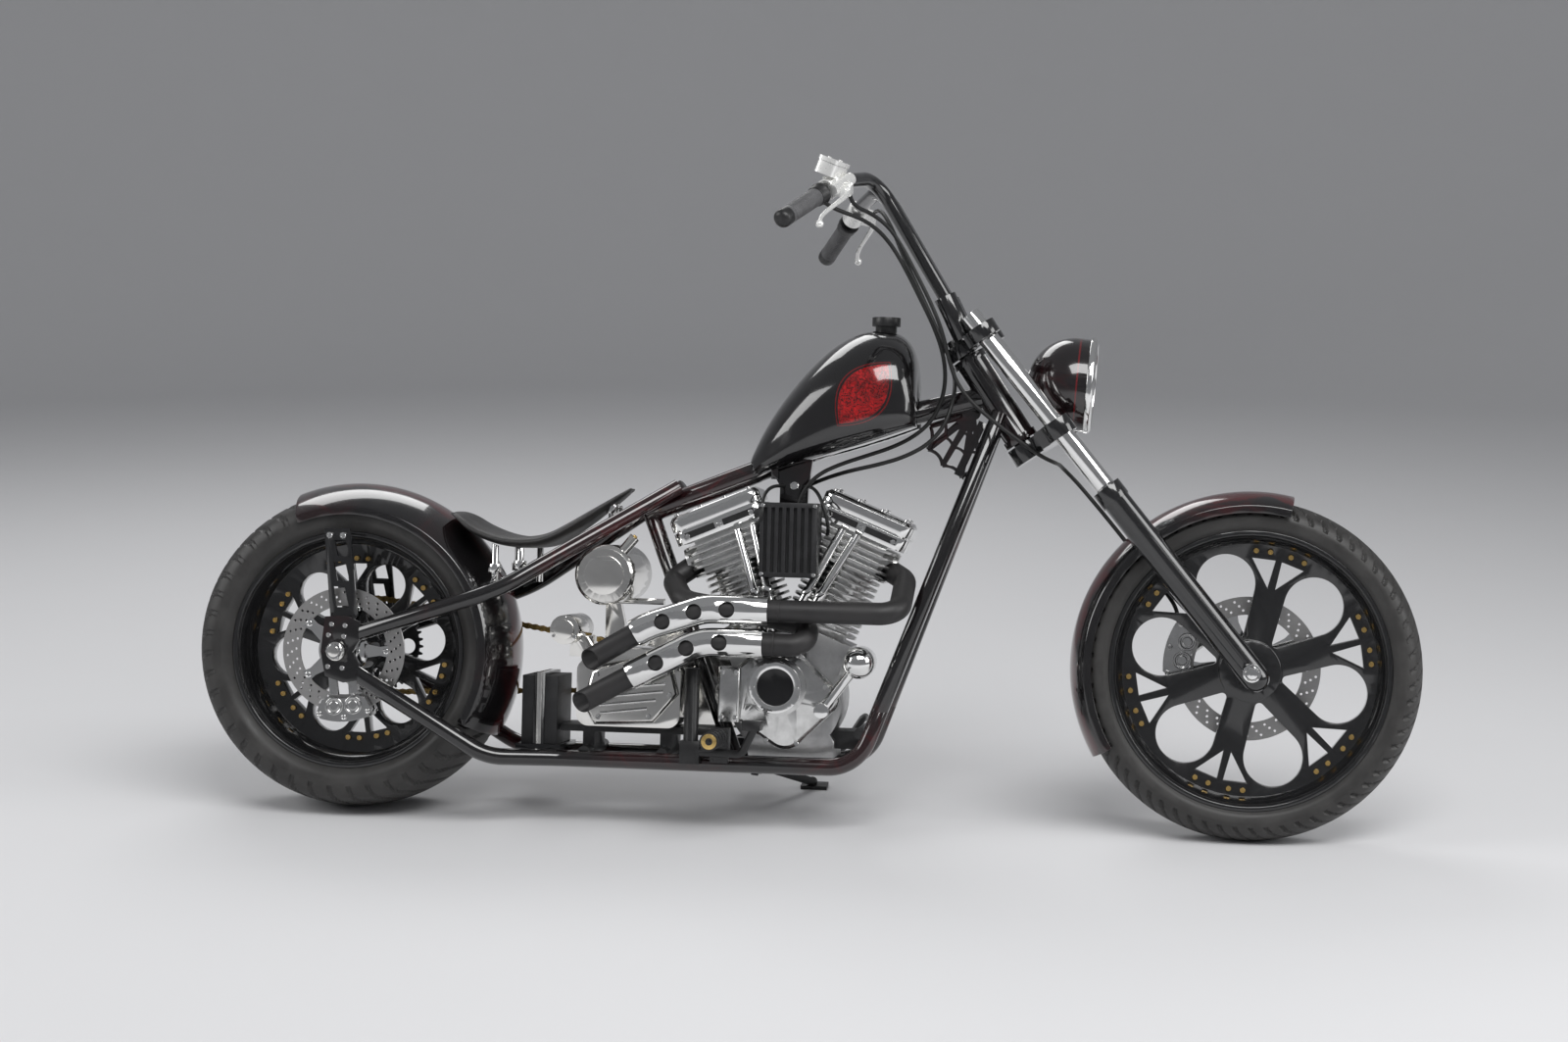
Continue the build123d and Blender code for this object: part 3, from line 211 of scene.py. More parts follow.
def cap_screw(bm, point, direction, radius, height):
    """Round head with a driver recess, standing on a point."""
    place = frame_along(point, direction)
    lathe(bm, ((0, height * 0.55), (radius * 0.52, height * 0.55), (radius * 0.58, height),
               (radius * 0.88, height), (radius, height * 0.86), (radius, -0.5)), place, 12)


def hex_nut(bm, point, direction, radius, height):
    """Hexagon with a round chamfered top and a stud end."""
    place = frame_along(point, direction)
    corners = [(radius * math.cos(math.pi * k / 3), radius * math.sin(math.pi * k / 3)) for k in range(6)]
    prism(bm, corners, place, -0.5, height * 0.8)
    lathe(bm, ((0, height * 1.18), (radius * 0.34, height * 1.18), (radius * 0.42, height * 1.1),
               (radius * 0.42, height), (radius * 0.8, height), (radius * 0.88, height * 0.78)), place, 12)


# Finishes
class Finish:
    """A node material round one Principled shader, in the piece's own coordinates."""

    def __init__(self, name, metallic=0.0, roughness=0.4):
        self.material = bpy.data.materials.new(name)
        self.material.use_nodes = True
        self.nodes = self.material.node_tree.nodes
        self.links = self.material.node_tree.links
        self.shader = self.nodes["Principled BSDF"]
        self.set("Metallic", metallic)
        self.set("Roughness", roughness)
        self.coords = self.nodes.new("ShaderNodeTexCoord").outputs["Object"]

    def set(self, socket, value):
        self.shader.inputs[socket].default_value = value

    def feed(self, socket, source):
        self.links.new(source, self.shader.inputs[socket])

    def noise(self, scale, detail=4.0, rough=0.55, vector=None, distortion=0.0):
        node = self.nodes.new("ShaderNodeTexNoise")
        node.inputs["Scale"].default_value = scale
        node.inputs["Detail"].default_value = detail
        node.inputs["Roughness"].default_value = rough
        node.inputs["Distortion"].default_value = distortion
        self.links.new(vector or self.coords, node.inputs["Vector"])
        return node.outputs["Fac"]

    def cells(self, scale):
        """Distance to the edges of random cells."""
        node = self.nodes.new("ShaderNodeTexVoronoi")
        node.feature = "DISTANCE_TO_EDGE"
        node.inputs["Scale"].default_value = scale
        self.links.new(self.coords, node.inputs["Vector"])
        return node.outputs["Distance"]

    def stretched(self, x, y, z):
        node = self.nodes.new("ShaderNodeMapping")
        node.inputs["Scale"].default_value = (x, y, z)
        self.links.new(self.coords, node.inputs["Vector"])
        return node.outputs["Vector"]

    def upright(self):
        """Coordinates of the upright bike in millimetres."""
        node = self.nodes.new("ShaderNodeMapping")
        node.vector_type = "TEXTURE"
        place, turn, scale = UPRIGHT.decompose()
        node.inputs["Location"].default_value = place
        node.inputs["Rotation"].default_value = turn.to_euler()
        node.inputs["Scale"].default_value = scale
        self.links.new(self.coords, node.inputs["Vector"])
        return node.outputs["Vector"]

    def split(self, vector):
        node = self.nodes.new("ShaderNodeSeparateXYZ")
        self.links.new(vector, node.inputs[0])
        return node.outputs

    def spread(self, source, low, high, to_low, to_high, smooth=False):
        node = self.nodes.new("ShaderNodeMapRange")
        node.interpolation_type = "SMOOTHSTEP" if smooth else "LINEAR"
        for socket, value in (("From Min", low), ("From Max", high), ("To Min", to_low), ("To Max", to_high)):
            node.inputs[socket].default_value = value
        self.links.new(source, node.inputs["Value"])
        return node.outputs["Result"]

    def maths(self, operation, first, second):
        node = self.nodes.new("ShaderNodeMath")
        node.operation = operation
        for socket, value in zip(node.inputs, (first, second)):
            if isinstance(value, (int, float)):
                socket.default_value = value
            else:
                self.links.new(value, socket)
        return node.outputs[0]

    def band(self, source, low, high, soft, smooth=False):
        """1 between two values of a source, with soft ends."""
        rise = self.spread(source, low, low + soft, 0.0, 1.0, smooth)
        fall = self.spread(source, high - soft, high, 1.0, 0.0, smooth)
        return self.maths("MULTIPLY", rise, fall)

    def off_axis(self, ahead, above):
        """Distance from an axis that runs across the bike."""
        squares = [self.maths("MULTIPLY", part, part) for part in (ahead, above)]
        return self.maths("SQRT", self.maths("ADD", *squares), 0.0)

    def mix(self, share, first, second):
        node = self.nodes.new("ShaderNodeMix")
        node.data_type = "RGBA"
        self.links.new(share, node.inputs["Factor"])
        for socket, value in (("A", first), ("B", second)):
            target = [entry for entry in node.inputs if entry.name == socket and entry.type == "RGBA"][0]
            if isinstance(value, (tuple, list)) or hasattr(value, "r"):
                target.default_value = (value[0], value[1], value[2], 1.0)
            else:
                self.links.new(value, target)
        return [entry for entry in node.outputs if entry.type == "RGBA"][0]

    def bump(self, height, strength, distance):
        node = self.nodes.new("ShaderNodeBump")
        node.inputs["Strength"].default_value = strength
        node.inputs["Distance"].default_value = distance
        self.links.new(height, node.inputs["Height"])
        self.links.new(node.outputs["Normal"], self.shader.inputs["Normal"])


def shade(colour, factor):
    """A colour made darker or lighter."""
    return tuple(min(1.0, channel * factor) for channel in colour)


def plated(name, colour, roughness, smear, metallic=1.0):
    """Bright plating with faint wiping marks."""
    made = Finish(name, metallic, roughness)
    marks = made.noise(9.0, 5.0, 0.6)
    made.feed("Base Color", made.mix(marks, shade(colour, 0.94), shade(colour, 1.03)))
    made.feed("Roughness", made.spread(made.noise(38.0, 6.0, 0.7), 0.3, 0.75, roughness, roughness + smear))
    made.bump(made.noise(14.0, 2.0), 0.05, 0.0006)
    return made.material


def cast(name, colour, roughness, grain, depth):
    """Cast or blasted light alloy: fine grain with darker stains."""
    made = Finish(name, 1.0, roughness)
    specks = made.noise(grain, 3.0, 0.6)
    stain = made.noise(26.0, 6.0, 0.65)
    made.feed("Base Color", made.mix(made.spread(stain, 0.35, 0.7, 0.0, 1.0), shade(colour, 0.72), colour))
    made.feed("Roughness", made.spread(stain, 0.3, 0.7, roughness + 0.1, roughness - 0.06))
    made.bump(specks, depth, 0.0006)
    return made.material


def turned(name, colour, roughness):
    """Machined steel with fine stretched tool marks."""
    made = Finish(name, 1.0, roughness)
    lines = made.noise(60.0, 5.0, 0.7, made.stretched(1.0, 30.0, 30.0))
    made.feed("Base Color", made.mix(lines, shade(colour, 0.72), shade(colour, 1.08)))
    made.feed("Roughness", made.spread(lines, 0.3, 0.7, roughness + 0.12, roughness - 0.05))
    made.bump(lines, 0.12, 0.0004)
    return made.material


def painted(name, colour, candy, lines_scale, amount, stripe=None):
    """Gloss black with faint candy veins that show only in the light, under clear coat."""
    made = Finish(name, 0.0, 0.16)
    wander = made.noise(4.5, 3.0, 0.5)
    veins = made.cells(lines_scale)
    thin = made.spread(veins, 0.01, 0.06, 1.0, 0.0, True)
    fade = made.spread(wander, 0.44, 0.7, 0.0, amount, True)
    faint = made.maths("MULTIPLY", fade, made.maths("ADD", made.maths("MULTIPLY", thin, 0.35), 0.18))
    flake = made.noise(2600.0, 1.0)
    tint = made.mix(flake, shade(candy, 0.55), shade(candy, 1.35))
    if stripe:
        faint = made.maths("MAXIMUM", faint, stripe(made))
    made.feed("Base Color", made.mix(faint, colour, tint))
    made.feed("Roughness", made.spread(made.noise(30.0, 5.0), 0.3, 0.7, 0.12, 0.2))
    made.set("Coat Weight", 1.0)
    made.set("Coat Roughness", 0.025)
    made.bump(made.noise(55.0, 2.0), 0.02, 0.0006)
    return made.material


def crown_stripe(made):
    """Broad candy band along the middle of a fender, ragged at its edges."""
    y = made.split(made.upright())[1]
    tatter = made.spread(made.noise(14.0, 5.0, 0.6), 0.3, 0.7, -16.0, 16.0)
    ragged = made.maths("ADD", made.maths("ABSOLUTE", y, 0.0), tatter)
    return made.spread(ragged, 44.0, 56.0, 0.5, 0.0, True)


def lamp_stripe(made):
    """Thin candy line round the shell, close to the ring."""
    x, _, z = made.split(made.upright())
    ahead = made.maths("MULTIPLY", made.maths("SUBTRACT", x, LAMP_AT.x), math.cos(LAMP_TILT))
    above = made.maths("MULTIPLY", made.maths("SUBTRACT", z, LAMP_AT.z), math.sin(LAMP_TILT))
    return made.band(made.maths("SUBTRACT", ahead, above), 4.0, 8.0, 0.6)


def plain_paint(name, colour, roughness, coat):
    """Even black enamel with a trace of orange peel and dust."""
    made = Finish(name, 0.0, roughness)
    dust = made.noise(120.0, 6.0, 0.7)
    made.feed("Base Color", made.mix(made.spread(dust, 0.4, 0.8, 0.0, 1.0), colour, shade(colour, 1.9)))
    made.feed("Roughness", made.spread(dust, 0.3, 0.75, roughness - 0.03, roughness + 0.08))
    made.set("Coat Weight", coat)
    made.set("Coat Roughness", 0.04)
    made.bump(made.noise(70.0, 2.0), 0.03, 0.0006)
    return made.material


def moulded(name, colour, roughness, grain):
    """Moulded plastic or rubber with a fine pebble and pale scuffs."""
    made = Finish(name, 0.0, roughness)
    scuff = made.noise(24.0, 7.0, 0.7)
    made.feed("Base Color", made.mix(made.spread(scuff, 0.45, 0.8, 0.0, 1.0), colour, shade(colour, 1.8)))
    made.feed("Roughness", made.spread(scuff, 0.3, 0.75, roughness, roughness + 0.14))
    made.set("Specular IOR Level", 0.4)
    made.bump(made.noise(grain, 2.0), 0.22, 0.0005)
    return made.material


# Sizes and colours a user would change
class ChopperSizes(bpy.types.PropertyGroup):
    """Sizes of the small parts that dress the frame."""

    tread_depth: FloatProperty(name="Tread depth", description="Depth of the tyre grooves",
                               default=0.0042, unit="LENGTH")
    chain_pitch: FloatProperty(name="Chain pitch", description="Distance between chain pins",
                               default=0.015875, unit="LENGTH")
    wheel_bolt: FloatProperty(name="Wheel bolt", description="Head radius of the gold wheel bolts",
                              default=0.0058, unit="LENGTH")
    cable: FloatProperty(name="Cable", description="Radius of the control cables",
                         default=0.0042, unit="LENGTH")
    disc_rows: IntProperty(name="Disc rows", description="Rows of drilled holes round a brake disc",
                           default=30)


class ChopperColours(bpy.types.PropertyGroup):
    """Colours of the paint and trim."""

    paint: FloatVectorProperty(name="Paint", description="Gloss body paint", subtype="COLOR", size=3,
                               default=(0.0055, 0.005, 0.0055))
    candy: FloatVectorProperty(name="Candy", description="Faint veins in the paint", subtype="COLOR", size=3,
                               default=(0.11, 0.005, 0.007))
    panel: FloatVectorProperty(name="Panel", description="Bright patch on the tank", subtype="COLOR", size=3,
                               default=(0.46, 0.008, 0.01))
    gold: FloatVectorProperty(name="Gold", description="Bolts and chain", subtype="COLOR", size=3,
                              default=(0.83, 0.58, 0.22))
    leather: FloatVectorProperty(name="Leather", description="Seat cover", subtype="COLOR", size=3,
                                 default=(0.017, 0.016, 0.016))
    rubber: FloatVectorProperty(name="Rubber", description="Tyres", subtype="COLOR", size=3,
                                default=(0.026, 0.025, 0.024))


class StageSettings(bpy.types.PropertyGroup):
    """Floor, light and camera."""

    floor: FloatVectorProperty(name="Floor", description="Colour of floor and wall", subtype="COLOR", size=3,
                               default=(0.72, 0.72, 0.73))
    key_power: FloatProperty(name="Key", description="Power of the key light",
                             default=190.0, subtype="POWER")
    fill_power: FloatProperty(name="Fill", description="Power of each fill light",
                              default=75.0, subtype="POWER")
    lens: FloatProperty(name="Lens", description="Focal length on a 36 mm sensor", default=66.8)


FINISHES = {}


def finish(name):
    """A finish by name, made the first time that it is asked for."""
    if name not in FINISHES:
        FINISHES[name] = FINISH_MAKERS[name](bpy.context.scene.chopper_colours)
    return FINISHES[name]


# Patch on the tank's sides: middle in the side view, tilt and half sizes
PATCH_X = 1052.0
PATCH_Z = 878.0
PATCH_TILT = math.radians(52.0)
PATCH_HALF_LENGTH = 78.0
PATCH_HALF_WIDTH = 46.0


def tank_paint(colours):
    """Gloss black with a pointed candy-red patch of marbled scales on each side."""
    made = Finish("tank_paint", 0.0, 0.14)
    x, y, z = made.split(made.upright())
    ahead = made.maths("SUBTRACT", x, PATCH_X)
    above = made.maths("SUBTRACT", z, PATCH_Z)
    along = made.maths("ADD", made.maths("MULTIPLY", ahead, math.cos(PATCH_TILT)),
                       made.maths("MULTIPLY", above, math.sin(PATCH_TILT)))
    across = made.maths("SUBTRACT", made.maths("MULTIPLY", above, math.cos(PATCH_TILT)),
                        made.maths("MULTIPLY", ahead, math.sin(PATCH_TILT)))
    # A leaf outline: half width falls off along the leaf
    reach = made.maths("MULTIPLY", along, 1.0 / PATCH_HALF_LENGTH)
    swell = made.maths("SUBTRACT", 1.0, made.maths("MULTIPLY", reach, reach))
    edge = made.maths("SUBTRACT", made.maths("MULTIPLY", swell, PATCH_HALF_WIDTH),
                      made.maths("ABSOLUTE", across, 0.0))
    inside = made.spread(edge, 0.0, 2.0, 0.0, 1.0, True)
    sides = made.spread(made.maths("ABSOLUTE", y, 0.0), 40.0, 60.0, 0.0, 1.0, True)
    crack = made.maths("ABSOLUTE", made.maths("SUBTRACT", made.noise(40.0, 6.0, 0.7, None, 1.4), 0.5), 0.0)
    veins = made.spread(crack, 0.0, 0.05, 0.1, 1.0, True)
    scales = made.spread(made.cells(130.0), 0.0, 0.14, 0.45, 1.0, True)
    cloud = made.spread(made.noise(24.0, 4.0, 0.6), 0.32, 0.66, 0.35, 1.0)
    marble = made.maths("MULTIPLY", made.maths("MULTIPLY", veins, scales), cloud)
    pinstripe = made.band(edge, -7.0, -3.0, 1.5, True)
    red = made.mix(marble, shade(colours.panel, 0.06), colours.panel)
    black = made.mix(made.maths("MULTIPLY", pinstripe, sides), colours.paint, shade(colours.panel, 0.3))
    made.feed("Base Color", made.mix(made.maths("MULTIPLY", inside, sides), black, red))
    made.feed("Roughness", made.spread(made.noise(30.0, 5.0), 0.3, 0.7, 0.1, 0.18))
    made.set("Coat Weight", 1.0)
    made.set("Coat Roughness", 0.02)
    made.bump(made.noise(50.0, 2.0), 0.015, 0.0006)
    return made.material


# Round points cover: middle in the side view and the black centre's radius
POINTS_X = 891.0
POINTS_Z = 285.0
POINTS_CENTRE = 37.4


def points_finish(colours):
    """Chromed ring round a black centre."""
    made = Finish("points_cover_finish", 1.0, 0.08)
    x, _, z = made.split(made.upright())
    radius = made.off_axis(made.maths("SUBTRACT", x, POINTS_X), made.maths("SUBTRACT", z, POINTS_Z))
    ring = made.spread(radius, POINTS_CENTRE, POINTS_CENTRE + 0.8, 0.0, 1.0)
    made.feed("Base Color", made.mix(ring, (0.012, 0.012, 0.013), (0.86, 0.86, 0.85)))
    made.feed("Metallic", ring)
    made.feed("Roughness", made.spread(made.noise(40.0, 4.0), 0.3, 0.7, 0.05, 0.16))
    return made.material


# Battery strap: middle and half width, and the tray's top
STRAP_X = 399.0
STRAP_HALF = 4.5
TRAY_TOP = 150.5


def strap_finish(colours):
    """Black tray with a bright strap above it."""
    made = Finish("battery_strap_finish", 1.0, 0.14)
    x, _, z = made.split(made.upright())
    off_middle = made.maths("ABSOLUTE", made.maths("SUBTRACT", x, STRAP_X), 0.0)
    strap = made.maths("MULTIPLY", made.spread(z, TRAY_TOP, TRAY_TOP + 1.5, 0.0, 1.0),
                       made.spread(off_middle, STRAP_HALF, STRAP_HALF + 0.7, 1.0, 0.0))
    made.feed("Base Color", made.mix(strap, (0.01, 0.01, 0.011), (0.84, 0.83, 0.8)))
    made.feed("Metallic", strap)
    made.feed("Roughness", made.spread(made.noise(60.0, 4.0), 0.3, 0.7, 0.12, 0.24))
    return made.material


# Foot pegs: axis in the side view, right and left, and how far out the brass rings lie
PEG_X = 782.0
RIGHT_PEG_Z = 183.0
LEFT_PEG_Z = 146.0
PEG_RINGS = 283.0


def peg_finish(colours):
    """Black peg with brass rings."""
    made = Finish("peg_finish", 0.6, 0.3)
    x, y, z = made.split(made.upright())
    reach = made.maths("ABSOLUTE", y, 0.0)
    ahead = made.maths("SUBTRACT", x, PEG_X)
    above = made.maths("SUBTRACT", z, made.spread(y, -1.0, 1.0, RIGHT_PEG_Z, LEFT_PEG_Z))
    round_band = made.band(made.off_axis(ahead, above), 7.0, 15.6, 0.6)
    ring = made.maths("MULTIPLY", made.spread(reach, PEG_RINGS, PEG_RINGS + 1.0, 0.0, 1.0), round_band)
    grit = made.noise(160.0, 4.0, 0.6)
    made.feed("Base Color", made.mix(ring, (0.016, 0.016, 0.017), shade(colours.gold, 0.9)))
    made.feed("Metallic", ring)
    made.feed("Roughness", made.spread(grit, 0.3, 0.7, 0.22, 0.42))
    made.bump(grit, 0.1, 0.0005)
    return made.material


def leather(colours):
    """Grained hide with a soft sheen and paler worn patches."""
    made = Finish("seat_leather", 0.0, 0.42)
    grain = made.cells(330.0)
    pores = made.noise(900.0, 2.0)
    worn = made.noise(11.0, 5.0, 0.6)
    made.feed("Base Color", made.mix(made.spread(worn, 0.4, 0.75, 0.0, 1.0), colours.leather,
                                     shade(colours.leather, 2.1)))
    made.feed("Roughness", made.spread(worn, 0.3, 0.75, 0.48, 0.34))
    made.set("Specular IOR Level", 0.45)
    creases = made.spread(grain, 0.0, 0.12, 0.0, 1.0, True)
    made.bump(made.maths("ADD", creases, made.maths("MULTIPLY", pores, 0.3)), 0.32, 0.0006)
    return made.material


def tyre_rubber(colours):
    """Dark rubber with dusty patches."""
    made = Finish("tyre_rubber", 0.0, 0.58)
    dust = made.noise(18.0, 7.0, 0.7)
    fine = made.noise(420.0, 3.0)
    made.feed("Base Color", made.mix(made.spread(dust, 0.42, 0.78, 0.0, 1.0), colours.rubber,
                                     shade(colours.rubber, 1.9)))
    made.feed("Roughness", made.spread(dust, 0.3, 0.75, 0.4, 0.6))
    made.set("Specular IOR Level", 0.5)
    made.bump(fine, 0.2, 0.0005)
    return made.material


def exhaust_black(colours):
    """Matt ceramic coat with paler patches."""
    made = Finish("exhaust_black", 0.25, 0.5)
    bloom = made.noise(16.0, 5.0, 0.6)
    made.feed("Base Color", made.mix(bloom, (0.018, 0.018, 0.019), (0.042, 0.04, 0.04)))
    made.feed("Roughness", made.spread(bloom, 0.3, 0.7, 0.4, 0.56))
    made.bump(made.noise(700.0, 2.0), 0.14, 0.0004)
    return made.material


def lens_glass(colours):
    """Clear lens with a slight ripple."""
    made = Finish("lens_glass", 0.0, 0.03)
    made.set("Transmission Weight", 1.0)
    made.set("IOR", 1.45)
    made.feed("Base Color", made.mix(made.noise(20.0), (0.93, 0.95, 0.96), (0.98, 0.99, 1.0)))
    made.bump(made.noise(60.0, 2.0), 0.05, 0.0005)
    return made.material


def chain_gold(colours):
    """Gold plate with oil-dark patches."""
    made = Finish("chain_gold", 1.0, 0.26)
    oil = made.noise(90.0, 5.0, 0.65)
    made.feed("Base Color", made.mix(made.spread(oil, 0.35, 0.7, 0.0, 1.0), shade(colours.gold, 0.32),
                                     shade(colours.gold, 0.95)))
    made.feed("Roughness", made.spread(oil, 0.3, 0.7, 0.42, 0.22))
    return made.material


FINISH_MAKERS = {
    "frame_paint": lambda c: painted("frame_paint", c.paint, c.candy, 14.0, 0.8),
    "fender_paint": lambda c: painted("fender_paint", c.paint, c.candy, 9.0, 0.6, crown_stripe),
    "lamp_paint": lambda c: painted("lamp_paint", c.paint, c.candy, 12.0, 0.4, lamp_stripe),
    "tank_paint": tank_paint,
    "gloss_black": lambda c: plain_paint("gloss_black", (0.006, 0.006, 0.0065), 0.16, 1.0),
    "wheel_black": lambda c: plain_paint("wheel_black", (0.007, 0.007, 0.0075), 0.2, 0.8),
    "satin_black": lambda c: plain_paint("satin_black", (0.012, 0.012, 0.0125), 0.38, 0.0),
    "chrome": lambda c: plated("chrome", (0.88, 0.88, 0.87), 0.04, 0.07),
    "satin_chrome": lambda c: plated("satin_chrome", (0.93, 0.93, 0.91), 0.24, 0.1, 0.6),
    "warm_chrome": lambda c: plated("warm_chrome", (0.86, 0.85, 0.82), 0.07, 0.1),
    "gold_bolt": lambda c: plated("gold_bolt", tuple(c.gold), 0.16, 0.12),
    "polished_alloy": lambda c: cast("polished_alloy", (0.8, 0.8, 0.79), 0.16, 260.0, 0.05),
    "cast_alloy": lambda c: cast("cast_alloy", (0.6, 0.6, 0.6), 0.36, 700.0, 0.22),
    "fin_alloy": lambda c: cast("fin_alloy", (0.7, 0.7, 0.69), 0.28, 500.0, 0.14),
    "disc_steel": lambda c: turned("disc_steel", (0.62, 0.61, 0.6), 0.3),
    "dark_steel": lambda c: turned("dark_steel", (0.09, 0.09, 0.092), 0.36),
    "black_plastic": lambda c: moulded("black_plastic", (0.014, 0.014, 0.015), 0.42, 520.0),
    "grip_rubber": lambda c: moulded("grip_rubber", (0.085, 0.085, 0.088), 0.42, 800.0),
    "cable_black": lambda c: moulded("cable_black", (0.012, 0.012, 0.012), 0.4, 1400.0),
    "points_cover_finish": points_finish,
    "battery_strap_finish": strap_finish,
    "peg_finish": peg_finish,
    "seat_leather": leather,
    "tyre_rubber": tyre_rubber,
    "exhaust_black": exhaust_black,
    "lens_glass": lens_glass,
    "chain_gold": chain_gold,
}

NODE_FINISHES = {
    "frame_paint": ("backbone", "down_tubes", "lower_rails", "lower_stays", "upper_stays", "seat_post"),
    "fender_paint": ("rear_fender", "front_fender"),
    "lamp_paint": ("headlight_shell",),
    "tank_paint": ("fuel_tank",),
    "wheel_black": ("front_rim", "rear_rim"),
    "gloss_black": ("fork_lowers", "triple_trees", "handlebar", "fender_struts"),
    "satin_black": ("fuel_cap", "engine_mounts", "stand_bracket", "side_stand", "foot_controls"),
    "chrome": ("fork_tubes", "headlight_ring", "rocker_boxes", "pushrod_tubes", "heat_shields", "oil_filter",
               "seat_mounts", "front_axle", "hand_controls"),
    "warm_chrome": ("oil_tank", "gearbox", "primary_cover", "rear_axle"),
    "polished_alloy": ("cam_cover", "front_caliper", "rear_caliper"),
    "cast_alloy": ("crankcase",),
    "fin_alloy": ("cylinders",),
    "dark_steel": ("rear_sprocket",),
    "disc_steel": ("front_disc", "rear_disc"),
    "black_plastic": ("air_cleaner", "battery"),
    "grip_rubber": ("grips",),
    "exhaust_black": ("front_exhaust", "rear_exhaust"),
    "points_cover_finish": ("points_cover",),
    "battery_strap_finish": ("battery_tray",),
    "peg_finish": ("foot_pegs",),
    "seat_leather": ("seat",),
    "tyre_rubber": ("front_tyre", "rear_tyre"),
    "lens_glass": ("headlight_lens",),
    "chain_gold": ("chain",),
}

# Rounds on sharp edges, in metres, the angle that counts as sharp, and the gap that is welded
SOFT_EDGE = 0.0012
CALIPER_EDGE = 0.0016
EDGE_ANGLE = math.radians(42.0)
WELD_GAP = 0.00001


def softened(made, width):
    """Gives sharp edges a small round; returns the modifier."""
    soft = made.modifiers.new("Soft edges", "BEVEL")
    soft.width = width
    soft.segments = 2
    soft.limit_method = "ANGLE"
    soft.angle_limit = EDGE_ANGLE
    return soft


class CHOPPER_OT_finishes(bpy.types.Operator):
    """Gives every carried-over solid its finish and soft edges"""

    bl_idname = "chopper.finishes"
    bl_label = "Finishes"

    def execute(self, context):
        left = set(frame["nodes"])
        for name, nodes in NODE_FINISHES.items():
            for node in nodes:
                solid = frame["nodes"][node]
                solid.data.materials.clear()
                solid.data.materials.append(finish(name))
                left.discard(node)
                weld = solid.modifiers.new("Weld", "WELD")
                weld.merge_threshold = WELD_GAP
                softened(solid, SOFT_EDGE).harden_normals = True
                solid.data.polygons.foreach_set("use_smooth", [True] * len(solid.data.polygons))
        if left:
            raise RuntimeError(f"no finish for {sorted(left)}")
        return {"FINISHED"}


# Tyres: (end, centre, radius, half width, crown radius, tread half width, flange radius, rim half width,
# grooves on each side, reach of the grooves below the shoulder)
TYRES = (("front", FRONT_AXLE, 343.0, 58.0, 80.0, 47.0, 281.0, 50.0, 64, 12.0),
         ("rear", REAR_AXLE, 328.0, 120.0, 286.0, 104.0, 243.0, 104.0, 44, 24.0))
TYRE_STEPS = 704
FLANGE_GAP = 0.5
BEAD_DEPTH = 13.9
BEAD_INSET = 6.1
# Grooves: where they start as a share of the tread, how far they sweep round, and half their width
GROOVE_FROM = 0.2
GROOVE_SWEEP = 0.9
GROOVE_HALF = 0.06
# Ribs round the wall: places up the wall, half width and height
WALL_RIBS = (0.2, 0.52)
WALL_RIB_HALF = 0.05
WALL_RIB_HEIGHT = 0.9


def arc_points(start, middle, end, count):
    """Points of the circle through three points, ends included."""
    (ax, ay), (bx, by), (cx, cy) = start, middle, end
    spread = 2 * (ax * (by - cy) + bx * (cy - ay) + cx * (ay - by))
    squares = [px * px + py * py for px, py in (start, middle, end)]
    ux = (squares[0] * (by - cy) + squares[1] * (cy - ay) + squares[2] * (ay - by)) / spread
    uy = (squares[0] * (cx - bx) + squares[1] * (ax - cx) + squares[2] * (bx - ax)) / spread
    radius = math.hypot(ax - ux, ay - uy)
    first = math.atan2(ay - uy, ax - ux)
    last = math.atan2(cy - uy, cx - ux)
    via = math.atan2(by - uy, bx - ux)
    turn = (last - first) % (2 * math.pi)
    if (via - first) % (2 * math.pi) > turn:
        turn -= 2 * math.pi
    angles = [first + turn * k / count for k in range(count + 1)]
    return [(ux + radius * math.cos(angle), uy + radius * math.sin(angle)) for angle in angles]


